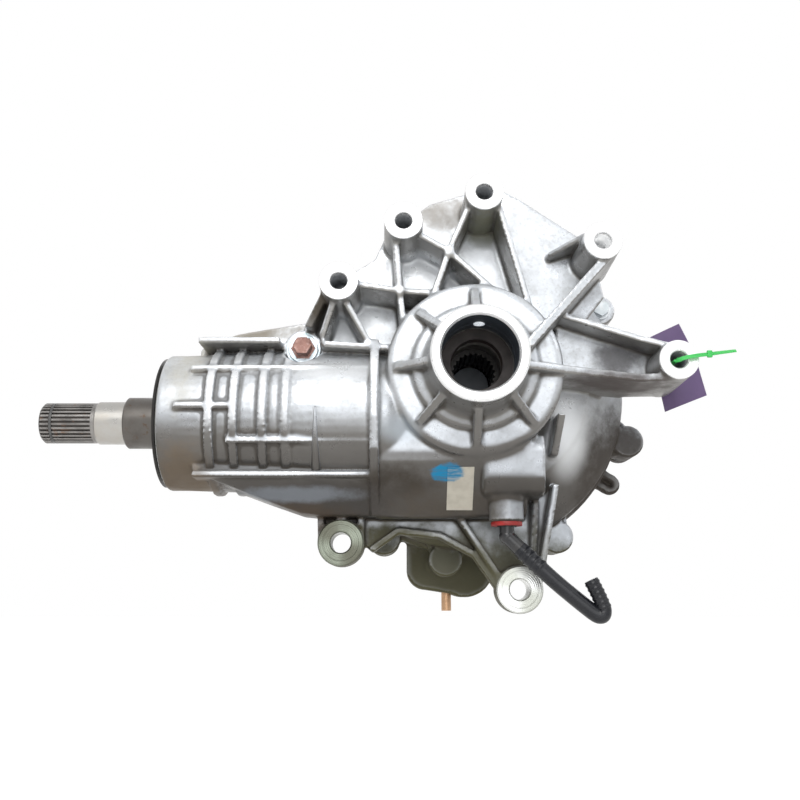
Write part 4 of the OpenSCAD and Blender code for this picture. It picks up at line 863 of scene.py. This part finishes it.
def breakEdges(node, body, slot, finish, width):
    data = nodes[node].data.copy()
    bm = bmesh.new()
    bm.from_mesh(data)
    bmesh.ops.remove_doubles(bm, verts=bm.verts, dist=1e-6)
    bmesh.ops.dissolve_limit(bm, angle_limit=math.radians(0.5), verts=bm.verts, edges=bm.edges)
    sharp = [e for e in bm.edges if len(e.link_faces) == 2
             and e.calc_face_angle(0) > math.radians(28)]
    bmesh.ops.bevel(bm, geom=sharp, offset=width * mm, segments=2, affect="EDGES", profile=0.5,
                    clamp_overlap=True)
    bm.to_mesh(data)
    bm.free()
    piece = addPiece(node + "_piece", data, body, finishes[finish], False)
    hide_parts(node)
    return piece


flangeFace = {"fill_plug": (-19.3, 14), "drain_plug": (14, 83.3)}  # Y of the flange, mm
plugHead = {"node": "fill_plug", "centre": (-107.3, 18.9), "smaller": 0.19}  # its hexagon


def dressPlug(piece, node, near, far):
    mesh = piece.data
    if node == plugHead["node"]:
        x, z = plugHead["centre"]
        for v in mesh.vertices:
            if not near * mm < v.co.y < far * mm:
                v.co.x -= (v.co.x - x * mm) * plugHead["smaller"]
                v.co.z -= (v.co.z - z * mm) * plugHead["smaller"]
    mesh.materials.append(finishes["washer"])
    for f in mesh.polygons:
        f.material_index = int(near * mm < f.center.y < far * mm)


for node, row in broken.items():
    piece = breakEdges(node, *row)
    if node in flangeFace:
        dressPlug(piece, node, *flangeFace[node])
print("fasteners done")


# blank tag and its tie on the right boss

tag = {
    "outline": [(141.0, 43.2), (151.5, 20.5), (157.0, -5.5), (128.3, -17.0), (120.3, 33.5)],
    "back": 7.5, "thick": 0.7, "curl": 1.2,
    "ripple": 0.6, "rippleLength": 9,
    "rows": 14, "columns": 18, "low": -17, "tall": 60,
}
tie = {
    "route": [(120.8, -48.5, 3.6), (121.8, -51.6, 3.2), (124.5, -53.0, 4.0), (131, -53.4, 5.2),
              (139, -53.2, 6.2), (147, -52.6, 7.4), (155.6, -52.0, 8.6)],
    "wide": 3.3, "thick": 1.1, "taper": 0.72,
    "head": (139.3, -53.2, 6.3), "headSize": (3.2, 2.4, 4.4), "headBevel": 0.7,
    "loop": [(120.8, -48.5, 3.6), (120.4, -36, 3.6), (120.8, -14, 3.8), (121.5, 0, 4.4),
             (123, 8.8, 4.2)],
}


def makeTag(t):
    bm = bmesh.new()
    xs = [p[0] for p in t["outline"]]
    left, right = min(xs), max(xs)
    bm.faces.new([bm.verts.new((x, 0, z)) for x, z in t["outline"]])
    cuts = [((left + (right - left) * k / t["columns"], 0, 0), (1, 0, 0))
            for k in range(1, t["columns"])]
    cuts += [((0, 0, t["low"] + t["tall"] * k / t["rows"]), (0, 0, 1)) for k in range(1, t["rows"])]
    for at, across in cuts:
        bmesh.ops.bisect_plane(bm, geom=bm.verts[:] + bm.edges[:] + bm.faces[:],
                               plane_co=at, plane_no=across)
    grown = bmesh.ops.extrude_face_region(bm, geom=bm.faces[:])
    for v in grown["geom"]:
        if isinstance(v, bmesh.types.BMVert):
            v.co.y += t["thick"]
    for v in bm.verts:
        u = (v.co.x - left) / (right - left)
        v.co.y += t["back"] + t["curl"] * (u - 0.4) ** 2 * 4
        v.co.y += t["ripple"] * math.sin(v.co.z / t["rippleLength"])
        v.co *= mm
    bmesh.ops.recalc_face_normals(bm, faces=bm.faces)
    mesh = bpy.data.meshes.new("blankTag")
    bm.to_mesh(mesh)
    bm.free()
    return addPiece("blankTag", mesh, "housing", finishes["tag"], False)


def makeTie(t):
    w, h = t["wide"] / 2, t["thick"] / 2
    strip = [(w, h * 0.4), (w - 0.4, h), (-w + 0.4, h), (-w, h * 0.4), (-w, -h * 0.4),
             (-w + 0.4, -h), (w - 0.4, -h), (w, -h * 0.4)]
    flat = [(v, u) for u, v in strip]
    tail = smoothPath(t["route"], 8)
    full = pathLength(tail)
    addPiece("tieTail", sweep("tieTail", tail, flat,
                              lambda along: 1 - (1 - t["taper"]) * (along / full) ** 2),
             "housing", finishes["tie"], False)
    addPiece("tieLoop", sweep("tieLoop", smoothPath(t["loop"], 8), strip), "housing",
             finishes["tie"], False)
    bm = bmesh.new()
    bmesh.ops.create_cube(bm, size=1)
    bmesh.ops.scale(bm, vec=t["headSize"], verts=bm.verts)
    bmesh.ops.bevel(bm, geom=bm.edges[:], offset=t["headBevel"], segments=2, affect="EDGES",
                    profile=0.5)
    bmesh.ops.translate(bm, vec=t["head"], verts=bm.verts)
    bmesh.ops.scale(bm, vec=(mm, mm, mm), verts=bm.verts)
    mesh = bpy.data.meshes.new("tieHead")
    bm.to_mesh(mesh)
    bm.free()
    addPiece("tieHead", mesh, "housing", finishes["tie"], False)


makeTag(tag)
makeTie(tie)
print("tag and tie done")


# floor, backdrop and light

studio = {
    "floorAt": -0.32,
    "floorSize": 16.0,
    "floorTone": (0.80, 0.79, 0.77),
    "floorGlow": 0.75,
    "ambient": 0.26,
    "lamps": [  # name, place, target, size, watts, tint
        ("keyLamp", (-0.15, -0.72, 0.50), (0, 0, 0), 0.55, 4.2, (1.0, 0.995, 0.98)),
        ("fillLamp", (0.9, -0.6, 0.6), (0, 0, 0), 0.7, 1.9, (0.95, 0.97, 1.0)),
        ("frontLamp", (0.08, -1.25, 0.10), (0, 0, 0), 0.8, 3.4, (0.97, 0.985, 1.0)),
        ("backLamp", (0.4, 1.2, 0.9), (0, 0, 0), 0.9, 9.0, (1.0, 1.0, 1.0)),
    ],
}


def seenDirectly(tree):  # camera, glossy and transmission rays
    path = tree.nodes.new("ShaderNodeLightPath")
    first = calc(tree, "MAXIMUM", path.outputs["Is Camera Ray"], path.outputs["Is Glossy Ray"])
    return calc(tree, "MAXIMUM", first, path.outputs["Is Transmission Ray"])


def makeStudio(s):
    world = bpy.data.worlds.new("studio")
    world.use_nodes = True
    bpy.context.scene.world = world
    tree = world.node_tree
    back = tree.nodes["Background"]
    back.inputs["Color"].default_value = (1, 1, 1, 1)
    tree.links.new(spread(tree, seenDirectly(tree), 0, 1, s["ambient"], 1.0),
                   back.inputs["Strength"])
    for name, at, target, size, watts, tint in s["lamps"]:
        data = bpy.data.lights.new(name, "AREA")
        data.size, data.energy, data.color = size, watts, tint
        lamp = bpy.data.objects.new(name, data)
        lamp.location = at
        lamp.rotation_euler = (Vector(target) - Vector(at)).to_track_quat("-Z", "Y").to_euler()
        bpy.context.scene.collection.objects.link(lamp)
    half = s["floorSize"] / 2
    mesh = bpy.data.meshes.new("floor")
    mesh.from_pydata([(-half, -half, 0), (half, -half, 0), (half, half, 0), (-half, half, 0)], [],
                     [(0, 1, 2, 3)])
    floor = bpy.data.objects.new("floor", mesh)
    floor.location.z = s["floorAt"]
    bpy.context.scene.collection.objects.link(floor)
    mat, tree, shader = startMaterial("paleFloor")
    shader.inputs["Base Color"].default_value = (*s["floorTone"], 1)
    shader.inputs["Roughness"].default_value = 0.8
    glow = tree.nodes.new("ShaderNodeEmission")
    glow.inputs["Color"].default_value = (1, 1, 1, 1)
    glow.inputs["Strength"].default_value = s["floorGlow"]
    both = tree.nodes.new("ShaderNodeAddShader")
    out = tree.nodes["Material Output"]
    mixer = tree.nodes.new("ShaderNodeMixShader")
    tree.links.new(seenDirectly(tree), mixer.inputs[0])
    tree.links.new(shader.outputs[0], both.inputs[0])
    tree.links.new(glow.outputs[0], both.inputs[1])
    tree.links.new(shader.outputs[0], mixer.inputs[1])
    tree.links.new(both.outputs[0], mixer.inputs[2])
    tree.links.new(mixer.outputs[0], out.inputs["Surface"])
    mesh.materials.append(mat)
    bpy.context.scene.view_settings.view_transform = "Standard"
    print("studio done")


makeStudio(studio)
